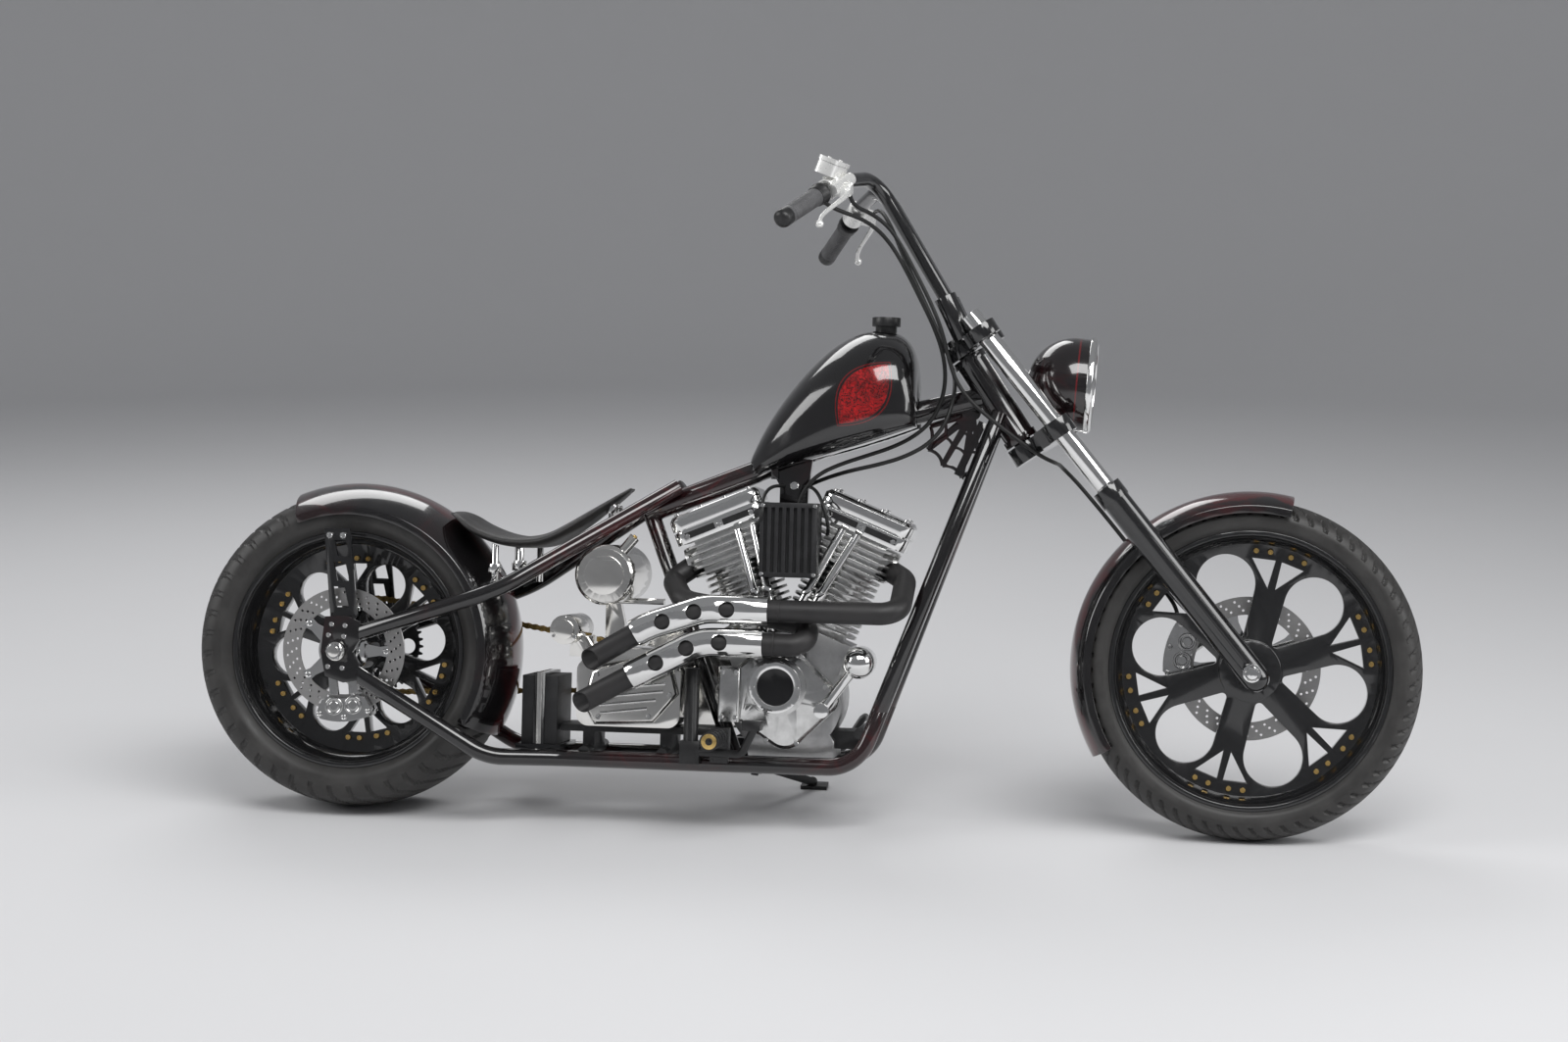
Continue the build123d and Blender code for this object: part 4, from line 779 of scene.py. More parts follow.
class CHOPPER_OT_tyres(bpy.types.Operator):
    """Tyres with swept tread grooves, in the space of the plain rings"""

    bl_idname = "chopper.tyres"
    bl_label = "Tyres"

    def execute(self, context):
        depth = context.scene.chopper_sizes.tread_depth / MM
        for end, centre, outer, half, crown, tread, flange, rim, bars, reach in TYRES:
            shoulder = outer - crown + math.sqrt(crown ** 2 - tread ** 2)
            over = flange + FLANGE_GAP
            wall = (over + shoulder) / 2
            right = arc_points((over, 1 - rim), (wall, -half), (shoulder, -tread), 11)
            top = arc_points((shoulder, -tread), (outer, 0), (shoulder, tread), 26)
            left = arc_points((shoulder, tread), (wall, half), (over, rim - 1), 11)
            seat = flange - BEAD_DEPTH
            bead = rim - BEAD_INSET
            section = [(seat, -bead), (over, -bead)] + right + top[1:] + left[1:]
            section += [(over, bead), (seat, bead)]
            bm = bmesh.new()
            rings = []
            for number, (radius, y) in enumerate(section):
                before = section[number - 1]
                after = section[(number + 1) % len(section)]
                along = Vector((after[0] - before[0], after[1] - before[1])).normalized()
                share = abs(y) / tread
                band = (radius - over) / (shoulder - over)
                on_tread = radius > shoulder - reach
                on_wall = over + 4 < radius < shoulder - reach
                ring = []
                for step in range(TYRE_STEPS):
                    turn = 2 * math.pi * step / TYRE_STEPS
                    cut = 0.0
                    if on_tread and share > GROOVE_FROM:
                        # Swept grooves, staggered left and right, wider at the shoulder
                        stagger = 0.5 if y > 0 else 0.0
                        phase = (turn / (2 * math.pi) * bars + stagger + GROOVE_SWEEP * share * share) % 1.0
                        width = GROOVE_HALF + GROOVE_HALF * min(share, 1.0)
                        cut = depth if abs(phase - 0.5) < width else 0.0
                    elif on_wall and min(abs(band - rib) for rib in WALL_RIBS) < WALL_RIB_HALF:
                        cut = -WALL_RIB_HEIGHT
                    # Cut square to the surface, so that it also shows on the wall
                    spot = radius - cut * along.y
                    ring.append(bm.verts.new((centre.x + spot * math.cos(turn), centre.y + y + cut * along.x,
                                              centre.z + spot * math.sin(turn))))
                rings.append(ring)
            for low, high in zip(rings, rings[1:] + rings[:1]):
                for step in range(TYRE_STEPS):
                    after = (step + 1) % TYRE_STEPS
                    bm.faces.new((low[step], low[after], high[after], high[step]))
            made = piece(f"{end}_tyre_tread", bm, finish("tyre_rubber"), f"{end}_wheel", 30.0)
            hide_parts(f"{end}_tyre")
        return {"FINISHED"}


# Wheel bolts: (end, centre, bolt circle, spoke angle, offsets either side of a spoke)
WHEEL_BOLTS = (("front", FRONT_AXLE, 241.0, 16.5, (5.0, 11.75)),
               ("rear", REAR_AXLE, 187.0, 38.0, (5.6, 13.0)))
WEB_HALF = 15.0
BOLT_HEIGHT = 6.5


class CHOPPER_OT_wheel_bolts(bpy.types.Operator):
    """Gold bolts where each trident spoke meets the rim"""

    bl_idname = "chopper.wheel_bolts"
    bl_label = "Wheel bolts"

    def execute(self, context):
        size = context.scene.chopper_sizes.wheel_bolt / MM
        for end, centre, circle, first, offsets in WHEEL_BOLTS:
            bm = bmesh.new()
            for spoke in range(SPOKES):
                for side in BOTH_SIDES:
                    for offset in offsets:
                        angle = first + spoke * 360 / SPOKES + side * offset
                        for face in BOTH_SIDES:
                            spot = spun(circle, angle, face * WEB_HALF, centre)
                            cap_screw(bm, spot, (0, face, 0), size, BOLT_HEIGHT)
            piece(f"{end}_wheel_bolts", bm, finish("gold_bolt"), f"{end}_wheel")
        return {"FINISHED"}


# Discs: (end, centre, outer radius, plane, hub end)
DISCS = (("front", FRONT_AXLE, 146.0, 66.0, 62.0), ("rear", REAR_AXLE, 127.0, -130.0, -118.0))
DISC_BAND = 36.0
DISC_HALF = 2.5
DISC_BEVEL = 0.4
# Holes: radius, places across the band, and how far each next one trails
HOLE_RADIUS = 3.1
HOLE_PLACES = (0.24, 0.5, 0.76)
HOLE_TRAIL = 0.28
CARRIER_ARMS = 5


def circle_spline(curve, x, y, radius, corners):
    """Adds a round outline to a flat curve."""
    spline = curve.splines.new("POLY")
    spline.points.add(corners - 1)
    for corner, knot in enumerate(spline.points):
        turn = 2 * math.pi * corner / corners
        knot.co = (x + radius * math.cos(turn), y + radius * math.sin(turn), 0, 1)
    spline.use_cyclic_u = True


def drilled_plate(outer, inner, holes, half):
    """Flat ring with holes as a bmesh in the local x, y plane, with a small bevel on its rims."""
    curve = bpy.data.curves.new("plate", "CURVE")
    curve.dimensions = "2D"
    curve.fill_mode = "BOTH"
    curve.extrude = half - DISC_BEVEL
    curve.bevel_depth = DISC_BEVEL
    curve.bevel_resolution = 0
    circle_spline(curve, 0, 0, outer, 120)
    circle_spline(curve, 0, 0, inner, 96)
    for x, y, radius in holes:
        circle_spline(curve, x, y, radius, 12)
    holder = bpy.data.objects.new("plate", curve)
    mesh = bpy.data.meshes.new_from_object(holder)
    bm = bmesh.new()
    bm.from_mesh(mesh)
    bmesh.ops.remove_doubles(bm, verts=bm.verts, dist=0.001)
    bpy.data.objects.remove(holder)
    bpy.data.curves.remove(curve)
    bpy.data.meshes.remove(mesh)
    return bm


class CHOPPER_OT_discs(bpy.types.Operator):
    """Drilled brake discs on five-armed carriers"""

    bl_idname = "chopper.discs"
    bl_label = "Brake discs"

    def execute(self, context):
        rows = context.scene.chopper_sizes.disc_rows
        for end, centre, outer, plane, hub in DISCS:
            out = 1 if plane > 0 else -1
            inner = outer - DISC_BAND
            holes = []
            for row_number in range(rows):
                for place, share in enumerate(HOLE_PLACES):
                    turn = 2 * math.pi * (row_number + place * HOLE_TRAIL) / rows
                    radius = inner + DISC_BAND * share
                    holes.append((radius * math.cos(turn), radius * math.sin(turn), HOLE_RADIUS))
            middle = centre + Vector((0, plane, 0))
            side_on = Matrix.Translation(middle) @ Matrix.Rotation(math.pi / 2, 4, "X")
            bm = drilled_plate(outer, inner, holes, DISC_HALF)
            bmesh.ops.transform(bm, matrix=side_on, verts=bm.verts)
            rotor = piece(f"{end}_disc_rotor", bm, finish("disc_steel"), f"{end}_wheel")
            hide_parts(f"{end}_disc")
            bm = bmesh.new()
            axis = frame_along(middle, (0, out, 0))
            stand = abs(plane - hub)
            lathe(bm, ((12, DISC_HALF + 4), (40, DISC_HALF + 4), (46, DISC_HALF + 1), (52, DISC_HALF),
                       (52, -DISC_HALF), (44, -DISC_HALF), (44, -stand), (12, -stand)), axis, 48)
            for arm in range(CARRIER_ARMS):
                turn = Matrix.Rotation(2 * math.pi * arm / CARRIER_ARMS, 4, "Z")
                outline = ((44, -15), (inner - 14, -9), (inner + 4, -12),
                           (inner + 4, 12), (inner - 14, 9), (44, 15))
                prism(bm, outline, axis @ turn, -DISC_HALF + 0.2, DISC_HALF + 2.2)
                tip = axis @ turn @ Vector((inner - 2, 0, DISC_HALF + 2.2))
                cap_screw(bm, tip, (0, out, 0), 6.0, 3.4)
                root = axis @ turn @ Vector((30, 0, DISC_HALF + 4))
                cap_screw(bm, root, (0, out, 0), 6.0, 5.0)
            piece(f"{end}_disc_carrier", bm, finish("chrome"), f"{end}_wheel")
        return {"FINISHED"}


# Calipers: (end, body, centre, first and last angle, inner and outer radius, disc radius, faces, disc plane)
CALIPERS = (("front", "fork", FRONT_AXLE, 145.0, 187.0, 118.0, 172.0, 146.0, (44.0, 92.0), 66.0),
            ("rear", "frame", REAR_AXLE, -110.0, -60.0, 97.0, 145.0, 127.0, (-158.0, -104.0), -130.0))
CALIPER_SLOT = 8.0
CALIPER_CORNER = 11
# Piston covers: places along the caliper and (radius, height) profile; places of the screws
PISTON_PLACES = (0.3, 0.7)
PISTON_COVER = ((0, 1.6), (9, 1.6), (10, 0.4), (13, 0.4), (14.5, 2.6), (17.5, 2.6), (18.5, 1.2), (18.5, -0.5))
CALIPER_SCREWS = (0.06, 0.5, 0.94)
# Arms that carry the rear caliper: outlines about the rear axle, faces and the eye on the axle
CALIPER_ARMS = (((-20, -90), (-2, -90), (-12, -18), (-26, -12)), ((20, -88), (40, -84), (27, -10), (14, -20)))
ARM_INNER = 146.0
ARM_OUTER = 157.5
EYE_BORE = 18.5
EYE_RADIUS = 34.0


def sector(inner, outer, first, last, corner, steps=14):
    """Outline of a ring sector with cut corners, in the side view about a wheel's centre."""
    points = [(outer - corner, first)]
    for radius, low, high in ((outer, first, last), (inner, last, first)):
        slip = math.copysign(math.degrees(corner / radius), high - low)
        for k in range(steps + 1):
            points.append((radius, low + slip + (high - low - 2 * slip) * k / steps))
        if radius == outer:
            points += [(outer - corner, last), (inner + corner, last)]
    points.append((inner + corner, first))
    return [(r * math.cos(math.radians(a)), r * math.sin(math.radians(a))) for r, a in points]


class CHOPPER_OT_calipers(bpy.types.Operator):
    """Brake calipers in two halves with piston covers, bridge and bolts"""

    bl_idname = "chopper.calipers"
    bl_label = "Calipers"

    def execute(self, context):
        for end, body, centre, first, last, inner, outer, disc, faces, plane in CALIPERS:
            bm = bmesh.new()
            side_on = Matrix.Translation(centre) @ Matrix.Rotation(math.pi / 2, 4, "X")
            for low, high in ((faces[0], plane - CALIPER_SLOT), (plane + CALIPER_SLOT, faces[1])):
                prism(bm, sector(inner, outer, first, last, CALIPER_CORNER), side_on, -high, -low)
            bridge = sector(disc + 7, outer - 1.5, first + 3, last - 3, 4)
            prism(bm, bridge, side_on, -plane - CALIPER_SLOT - 1, CALIPER_SLOT + 1 - plane)
            for face, out in zip(faces, (-1, 1)):
                for share in PISTON_PLACES:
                    angle = first + (last - first) * share
                    cover = frame_along(spun((inner + disc) / 2 + 2, angle, face, centre), (0, out, 0))
                    lathe(bm, PISTON_COVER, cover, 32)
                for share in CALIPER_SCREWS:
                    angle = first + (last - first) * share
                    cap_screw(bm, spun(outer - 9, angle, face, centre), (0, out, 0), 5.6, 4.5)
            if end == "rear":
                for arm in CALIPER_ARMS:
                    prism(bm, arm, side_on, ARM_INNER, ARM_OUTER)
                eye = frame_along(centre + Vector((0, -ARM_OUTER, 0)), (0, 1, 0))
                thick = ARM_OUTER - ARM_INNER
                lathe(bm, ((EYE_BORE, 0), (EYE_RADIUS, 0), (EYE_RADIUS, thick), (EYE_BORE, thick),
                           (EYE_BORE, 0)), eye, 40)
                tube(bm, [Vector((17, -167, 284)), Vector((17, -156, 284))], 9, 16)
            else:
                tube(bm, [centre + Vector((-112, 90, 36)), centre + Vector((-66, 100, 70))], 10, 16)
            made = piece(f"{end}_caliper_body", bm, finish("polished_alloy"), body)
            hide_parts(f"{end}_caliper")
            softened(made, CALIPER_EDGE)
        return {"FINISHED"}


# Chain: two sprockets in the side view, (x, z, pitch radius)
CHAIN_WHEELS = ((0.0, REAR_AXLE_Z, 100.0), (560.0, 300.0, 46.0))
CHAIN_Y = 141.0
# Links: plate ends and waist, places of the inner and outer plates, rollers and pins
PLATE_RADIUS = 6.3
PLATE_WAIST = 4.3
INNER_PLATES = (5.6, 6.8)
OUTER_PLATES = (6.8, 8.0)
ROLLER_RADIUS = 4.9
PIN_RADIUS = 2.4
PIN_PROUD = 2.4


def chain_path():
    """Closed line of the chain: two straight runs and two wraps."""
    (x0, z0, r0), (x1, z1, r1) = CHAIN_WHEELS
    span = math.hypot(x1 - x0, z1 - z0)
    slope = math.atan2(z1 - z0, x1 - x0)
    spread = math.asin((r0 - r1) / span)
    upper = math.pi / 2 + slope - spread
    lower = -math.pi / 2 + slope + spread
    points = []
    for step in range(41):
        turn = lower + (upper - lower) * step / 40
        points.append(Vector((x1 + r1 * math.cos(turn), CHAIN_Y, z1 + r1 * math.sin(turn))))
    for step in range(61):
        turn = upper + (lower + 2 * math.pi - upper) * step / 60
        points.append(Vector((x0 + r0 * math.cos(turn), CHAIN_Y, z0 + r0 * math.sin(turn))))
    points.append(points[0].copy())
    return points


class CHOPPER_OT_chain(bpy.types.Operator):
    """Roller chain of waisted plates, pins and rollers"""

    bl_idname = "chopper.chain"
    bl_label = "Chain"

    def execute(self, context):
        path = chain_path()
        length = sum((b - a).length for a, b in zip(path, path[1:]))
        links = 2 * round(length / (context.scene.chopper_sizes.chain_pitch / MM) / 2)
        pins = resampled(path, links + 1)[:-1]
        bm = bmesh.new()
        for number, pin in enumerate(pins):
            after = pins[(number + 1) % links]
            pitch = (after - pin).length
            way = (after - pin).normalized()
            place = Matrix(((way.x, 0, way.z), (0, 1, 0), (-way.z, 0, way.x))).transposed().to_4x4()
            place = Matrix.Translation(pin) @ place @ Matrix.Rotation(math.pi / 2, 4, "X")
            plate = []
            for at, first in ((pitch, -100), (0.0, 80)):
                for k in range(7):
                    turn = math.radians(first + k * 200 / 6)
                    plate.append((at + PLATE_RADIUS * math.cos(turn), PLATE_RADIUS * math.sin(turn)))
                plate.append((pitch / 2, PLATE_WAIST if at else -PLATE_WAIST))
            low, high = OUTER_PLATES if number % 2 else INNER_PLATES
            for side in BOTH_SIDES:
                inner, outer = sorted((side * low, side * high))
                prism(bm, plate, place, inner, outer)
            across = frame_along(pin - Vector((0, INNER_PLATES[0], 0)), (0, 1, 0))
            wide = 2 * INNER_PLATES[0]
            lathe(bm, ((0, 0), (ROLLER_RADIUS, 0), (ROLLER_RADIUS, wide), (0, wide)), across, 10)
            lathe(bm, ((0, -PIN_PROUD), (PIN_RADIUS, -PIN_PROUD), (PIN_RADIUS, wide + PIN_PROUD),
                       (0, wide + PIN_PROUD)), across, 8)
        made = piece("drive_chain_links", bm, finish("chain_gold"), "frame")
        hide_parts("chain")
        return {"FINISHED"}


# Seat stations: (x, top, underside, half width)
SEAT_STATIONS = ((206, 622, 613, 78), (222, 620, 598, 104), (252, 600, 574, 126), (300, 582, 556, 132),
                 (345, 575, 549, 126), (398, 580, 551, 104), (440, 603, 574, 80), (482, 630, 602, 60),
                 (530, 659, 640, 42), (558, 676, 663, 32), (566, 680, 672, 24))
SEAT_STEPS = 60
SEAT_ACROSS = 14
# Height of the crown's edge and of the welt as shares of the thickness; dish where the rider sits;
# sewn line on each side of the centre panel
CROWN_EDGE = 0.45
WELT_HEIGHT = 0.43
WELT_RADIUS = 2.3
DISH_DEPTH = 3.0
DISH_FROM = 206
DISH_LENGTH = 230
SEAM_DEPTH = 1.6
SEAM_PLACE = 0.62
SEAM_HALF = 2.6


class CHOPPER_OT_seat(bpy.types.Operator):
    """Solo saddle: a crowned pad with a welted edge and a sewn centre panel"""

    bl_idname = "chopper.seat"
    bl_label = "Seat"

    def execute(self, context):
        lines = [smoothed([(s[0], s[3], s[k]) for s in SEAT_STATIONS], SEAT_STEPS) for k in (1, 2)]
        bm = bmesh.new()
        rings = []
        for top, low in zip(*lines):
            half = top.y
            thick = top.z - low.z
            along = min(max((top.x - DISH_FROM) / DISH_LENGTH, 0), 1)
            ring = []
            # Over the crown from left to right, then back along the flat underside
            for k in range(SEAT_ACROSS + 1):
                share = 1 - 2 * k / SEAT_ACROSS
                crown = (1 - abs(share) ** 3.2) ** 0.55
                dish = DISH_DEPTH * (1 - share * share) * math.sin(math.pi * along)
                sewn = SEAM_DEPTH * math.exp(-((abs(share) - SEAM_PLACE) * half / SEAM_HALF) ** 2)
                z = low.z + CROWN_EDGE * thick + (1 - CROWN_EDGE) * thick * crown - dish - sewn
                ring.append(bm.verts.new((top.x, share * half, z)))
            for k in range(1, SEAT_ACROSS):
                share = -1 + 2 * k / SEAT_ACROSS
                z = low.z + 0.25 * thick * abs(share) ** 6
                ring.append(bm.verts.new((low.x, share * half * 0.97, z)))
            rings.append(ring)
        for low, high in zip(rings, rings[1:]):
            for step in range(len(low)):
                after = (step + 1) % len(low)
                bm.faces.new((low[step], low[after], high[after], high[step]))
        bm.faces.new(rings[0])
        bm.faces.new(list(reversed(rings[-1])))
        pad = piece("seat_pad", bm, finish("seat_leather"), "frame", 60.0)
        smooth = pad.modifiers.new("Smooth", "SUBSURF")
        smooth.levels = 1
        smooth.render_levels = 1
        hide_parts("seat")
        edge = []
        for side in BOTH_SIDES:
            run = []
            for top, low in zip(*lines):
                run.append(Vector((top.x, side * top.y, low.z + WELT_HEIGHT * (top.z - low.z))))
            edge += run if side > 0 else list(reversed(run))
        bm = bmesh.new()
        tube(bm, edge, WELT_RADIUS, 8, True)
        welt = piece("seat_welt", bm, finish("seat_leather"), "frame")
        return {"FINISHED"}


# Grips along the bar's ends: bar bend and bar end on the left, and the bore that clears the bar
BAR_BEND = Vector((1002, 228, 1290))
BAR_END = Vector((912, 406, 1196))
BAR_BORE = 15.2
GRIP_PAST_BEND = 68
GRIP_PAST_BAR = 6
GRIP_RADIUS = 18.2
GROOVE_RADIUS = 17.5
GRIP_GROOVES = 16
COLLAR_LENGTH = 24
CAP_LENGTH = 27


def mirrored(vector, side):
    """The same vector on the left, side 1, or on the right, side -1."""
    return Vector((vector.x, side * vector.y, vector.z))


class CHOPPER_OT_grips(bpy.types.Operator):
    """Ribbed grips with flanges and rounded end caps"""

    bl_idname = "chopper.grips"
    bl_label = "Grips"

    def execute(self, context):
        along = (BAR_END - BAR_BEND).normalized()
        start = BAR_BEND + along * GRIP_PAST_BEND
        length = (BAR_END + along * GRIP_PAST_BAR - start).length
        cap_from = length - CAP_LENGTH
        sleeve = [(BAR_BORE, COLLAR_LENGTH), (GRIP_RADIUS, COLLAR_LENGTH)]
        for groove in range(GRIP_GROOVES):
            at = COLLAR_LENGTH + 3 + groove * (length - 60) / GRIP_GROOVES
            sleeve += [(GRIP_RADIUS, at), (GROOVE_RADIUS, at + 0.7), (GROOVE_RADIUS, at + 1.6),
                       (GRIP_RADIUS, at + 2.3)]
        sleeve += [(GRIP_RADIUS, cap_from), (BAR_BORE, cap_from)]
        collar = [(BAR_BORE, 0), (21.5, 0), (22.5, 1.5), (22.5, 6), (20.6, 8), (20.6, 21),
                  (19.4, COLLAR_LENGTH), (BAR_BORE, COLLAR_LENGTH)]
        cap = [(BAR_BORE, cap_from), (18.6, cap_from), (18.6, length - 12), (17.6, length - 7),
               (14.5, length - 3), (9, length - 0.6), (0, length)]
        kinds = (("grip_sleeves", (sleeve,), "grip_rubber"), ("grip_ends", (collar, cap), "satin_black"))
        for name, profiles, colour in kinds:
            bm = bmesh.new()
            for side in BOTH_SIDES:
                for profile in profiles:
                    lathe(bm, profile, frame_along(mirrored(start, side), mirrored(along, side)), 36)
            made = piece(name, bm, finish(colour), "fork", 50.0)
            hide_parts("grips")
        return {"FINISHED"}


# Hand controls: the clamp's place past the bend and (radius, place) profile
CLAMP_PAST_BEND = 32.0
CLAMP = ((BAR_BORE, -20), (20.5, -20), (22, -18.5), (22, 18.5), (20.5, 20), (BAR_BORE, 20), (BAR_BORE, -20))
# Reservoir: up direction, place from the clamp, half sizes and corner radius
RESERVOIR_UP = Vector((0.35, 0.1, 0.93))
RESERVOIR_AT = Vector((-4, 14, 36))
RESERVOIR_HALF = Vector((36, 21, 17))
RESERVOIR_CORNER = 9.0
# Lever along the grip: (along, ahead, up) from the clamp
LEVER_ROUTE = ((-10, 30, 0), (4, 42, 0), (26, 50, -1), (72, 50, -3), (112, 50, -6), (136, 54, -9),
               (150, 62, -12))
LEVER_BALL = 8.2
LEVER_BRACKET = ((-20, 10), (18, 10), (14, 40), (4, 47), (-14, 43), (-20, 30))


def rounded_box(bm, place, half, corner, low, high):
    """Box with rounded upright edges."""
    outline = []
    for quarter, (sx, sy) in enumerate(((1, 1), (-1, 1), (-1, -1), (1, -1))):
        for k in range(5):
            turn = math.radians(quarter * 90 + k * 22.5)
            outline.append((sx * (half.x - corner) + corner * math.cos(turn),
                            sy * (half.y - corner) + corner * math.sin(turn)))
    prism(bm, outline, place, low, high)


class CHOPPER_OT_controls(bpy.types.Operator):
    """Clamps, levers with ball ends and the brake reservoir on the bar"""

    bl_idname = "chopper.controls"
    bl_label = "Hand controls"

    def execute(self, context):
        along = (BAR_END - BAR_BEND).normalized()
        ahead = Vector((1, 0, 0))
        ahead = (ahead - along * ahead.dot(along)).normalized()
        clamp_at = BAR_BEND + along * CLAMP_PAST_BEND
        hold = Matrix.Translation(clamp_at) @ Matrix((along, ahead, ahead.cross(along))).transposed().to_4x4()
        up = RESERVOIR_UP.normalized()
        level = (along - up * along.dot(up)).normalized()
        tray = Matrix.Translation(clamp_at) @ Matrix((level, up.cross(level), up)).transposed().to_4x4()
        tray = tray @ Matrix.Translation(RESERVOIR_AT)
        for name, side in (("left_hand_control", 1), ("right_hand_control", -1)):
            bm = bmesh.new()
            lathe(bm, CLAMP, frame_along(clamp_at, along), 36)
            prism(bm, LEVER_BRACKET, hold, -10, 10)
            blade = smoothed([hold @ Vector(point) for point in LEVER_ROUTE], 40)
            tube(bm, blade, lambda share: 6.8 - 2.4 * min(1.0, share * 1.6), 14)
            turns = [math.pi * k / 10 for k in range(1, 10)]
            ball = [(LEVER_BALL * math.sin(turn), -LEVER_BALL * math.cos(turn)) for turn in turns]
            ball = [(0, -LEVER_BALL)] + ball + [(0, LEVER_BALL)]
            lathe(bm, ball, frame_along(blade[-1], blade[-1] - blade[-2]), 20)
            out = hold.to_3x3() @ Vector((0, 0, 1))
            cap_screw(bm, hold @ Vector((-6, 34, 10)), out, 6.5, 4.0)
            for x in (-12, 12):
                cap_screw(bm, hold @ Vector((x, -6, 21)), out, 4.0, 4.0)
            if side < 0:
                deep = RESERVOIR_HALF.z
                rounded_box(bm, tray, RESERVOIR_HALF, RESERVOIR_CORNER, -deep, deep - 9)
                lid = RESERVOIR_HALF + Vector((1, 1, 0))
                rounded_box(bm, tray, lid, RESERVOIR_CORNER, deep - 8.4, deep)
                for x in (-29, 29):
                    cap_screw(bm, tray @ Vector((x, 0, deep)), up, 3.8, 2.4)
                tube(bm, [hold @ Vector((-44, 20, 6)), hold @ Vector((30, 20, 6))], 12.5, 24)
                tube(bm, [tray @ Vector((0, -8, 2 - deep)), hold @ Vector((-6, 16, 6))], 11, 20)
                bmesh.ops.transform(bm, matrix=Matrix.Diagonal((1, -1, 1, 1)), verts=bm.verts)
            made = piece(name, bm, finish("satin_chrome"), "fork")
            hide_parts("hand_controls")
        return {"FINISHED"}


# Headlight: centre and the way it faces; lens radius, rise and thickness; flutes
LAMP_AT = Vector((1470, 0, 912))
LAMP_TILT = math.radians(4.0)
LENS_RADIUS = 84.0
LENS_TOP = 40.0
LENS_RISE = 14.0
LENS_THICK = 2.6
LENS_STEPS = 14
FLUTE_HEIGHT = 0.5


class CHOPPER_OT_lamp(bpy.types.Operator):
    """Fluted lens over a bright reflector and bulb"""

    bl_idname = "chopper.lamp"
    bl_label = "Headlight"

    def execute(self, context):
        place = frame_along(LAMP_AT, (math.cos(LAMP_TILT), 0, -math.sin(LAMP_TILT)))
        bm = bmesh.new()
        dish = [(83.5 * k / LENS_STEPS, -1.5 + 26 * (k / LENS_STEPS) ** 2) for k in range(2, LENS_STEPS + 1)]
        lathe(bm, [(0, -1.5)] + dish + [(83.8, 24.5), (83.8, -1.8), (0, -1.8)], place, 56)
        piece("headlight_reflector", bm, finish("chrome"), "fork")
        bm = bmesh.new()
        lathe(bm, ((0, 24), (5, 23), (7.5, 18), (7.5, 6), (11, 5), (11, -1)), place, 20)
        piece("headlight_bulb", bm, finish("warm_chrome"), "fork")
        bm = bmesh.new()
        rings = []
        for k in range(LENS_STEPS + 1):
            dome = LENS_TOP - LENS_RISE * (k / LENS_STEPS) ** 2.2
            rings.append((LENS_RADIUS * k / LENS_STEPS, dome))
        inside = [(radius * 0.985, dome - LENS_THICK) for radius, dome in reversed(rings)]
        lathe(bm, rings + [(LENS_RADIUS, 23.5)] + inside, place, 96)
        for vert in bm.verts:
            local = place.inverted() @ vert.co
            if local.xy.length < 78 and local.z > 24:
                vert.co += place.to_3x3() @ Vector((0, 0, FLUTE_HEIGHT * math.cos(local.y * 0.9)))
        made = piece("headlight_fluted_lens", bm, finish("lens_glass"), "fork", 60.0)
        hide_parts("headlight_lens")
        return {"FINISHED"}


# Routes of the control cables from the bar, the brake hose to the front caliper and the spark leads
THROTTLE_ROUTE = ((980, -291, 1243), (994, -284, 1234), (1018, -262, 1226), (1044, -224, 1220),
                  (1066, -180, 1210), (1086, -138, 1194), (1108, -106, 1166), (1132, -88, 1124),
                  (1158, -79, 1074), (1186, -70, 1020), (1206, -59, 966), (1212, -51, 914),
                  (1204, -46, 868), (1184, -44, 828), (1150, -43, 797), (1106, -42, 774),
                  (1054, -42, 756), (1002, -43, 738), (960, -44, 718), (932, -46, 690), (918, -46, 656),
                  (912, -44, 624), (912, -42, 600))
CLUTCH_ROUTE = ((1028, 250, 1278), (1036, 234, 1286), (1050, 206, 1280), (1066, 170, 1258),
                (1086, 130, 1222), (1110, 100, 1168), (1136, 86, 1118), (1162, 78, 1066),
                (1188, 66, 1012), (1210, 46, 964), (1224, 14, 930), (1230, -26, 900), (1226, -58, 862),
                (1212, -68, 818), (1180, -70, 780), (1132, -68, 754), (1080, -62, 738),
                (1034, -44, 728), (994, -10, 718), (956, 26, 706), (918, 48, 690), (894, 64, 652),
                (874, 84, 598), (850, 96, 540), (822, 102, 482), (788, 106, 426), (748, 108, 376),
                (712, 110, 336), (692, 112, 318), (675, 112, 302))
HOSE_ROUTE = ((1022, -229, 1283), (1023, -224, 1262), (1034, -202, 1244), (1062, -158, 1236),
              (1092, -118, 1216), (1118, -102, 1180), (1148, -96, 1126), (1178, -93, 1070),
              (1203, -90, 1014), (1219, -87, 952), (1236, -86, 905), (1268, -86, 866), (1312, -86, 830),
              (1348, -86, 804), (1386, -84, 777), (1412, -76, 761), (1430, -56, 753), (1439, -26, 750),
              (1442, 12, 749), (1445, 50, 747), (1452, 78, 740), (1468, 97, 725), (1489, 104, 703),
              (1552, 106, 631), (1616, 106, 553), (1668, 104, 492), (1692, 98, 456), (1694, 86, 428))
LEAD_ROUTES = (((884, -20, 690), (874, -44, 692), (860, -84, 684), (854, -124, 664), (858, -147, 640),
                (850, -140, 612), (842, -112, 600), (838, -76, 594)),
               ((926, -20, 690), (938, -44, 692), (956, -84, 684), (970, -116, 668), (982, -132, 640),
                (988, -122, 612), (986, -104, 600), (982, -76, 594)))
# Control cables ride on no body: they are fixed where they are drawn
SPARK_LEAD = 3.6


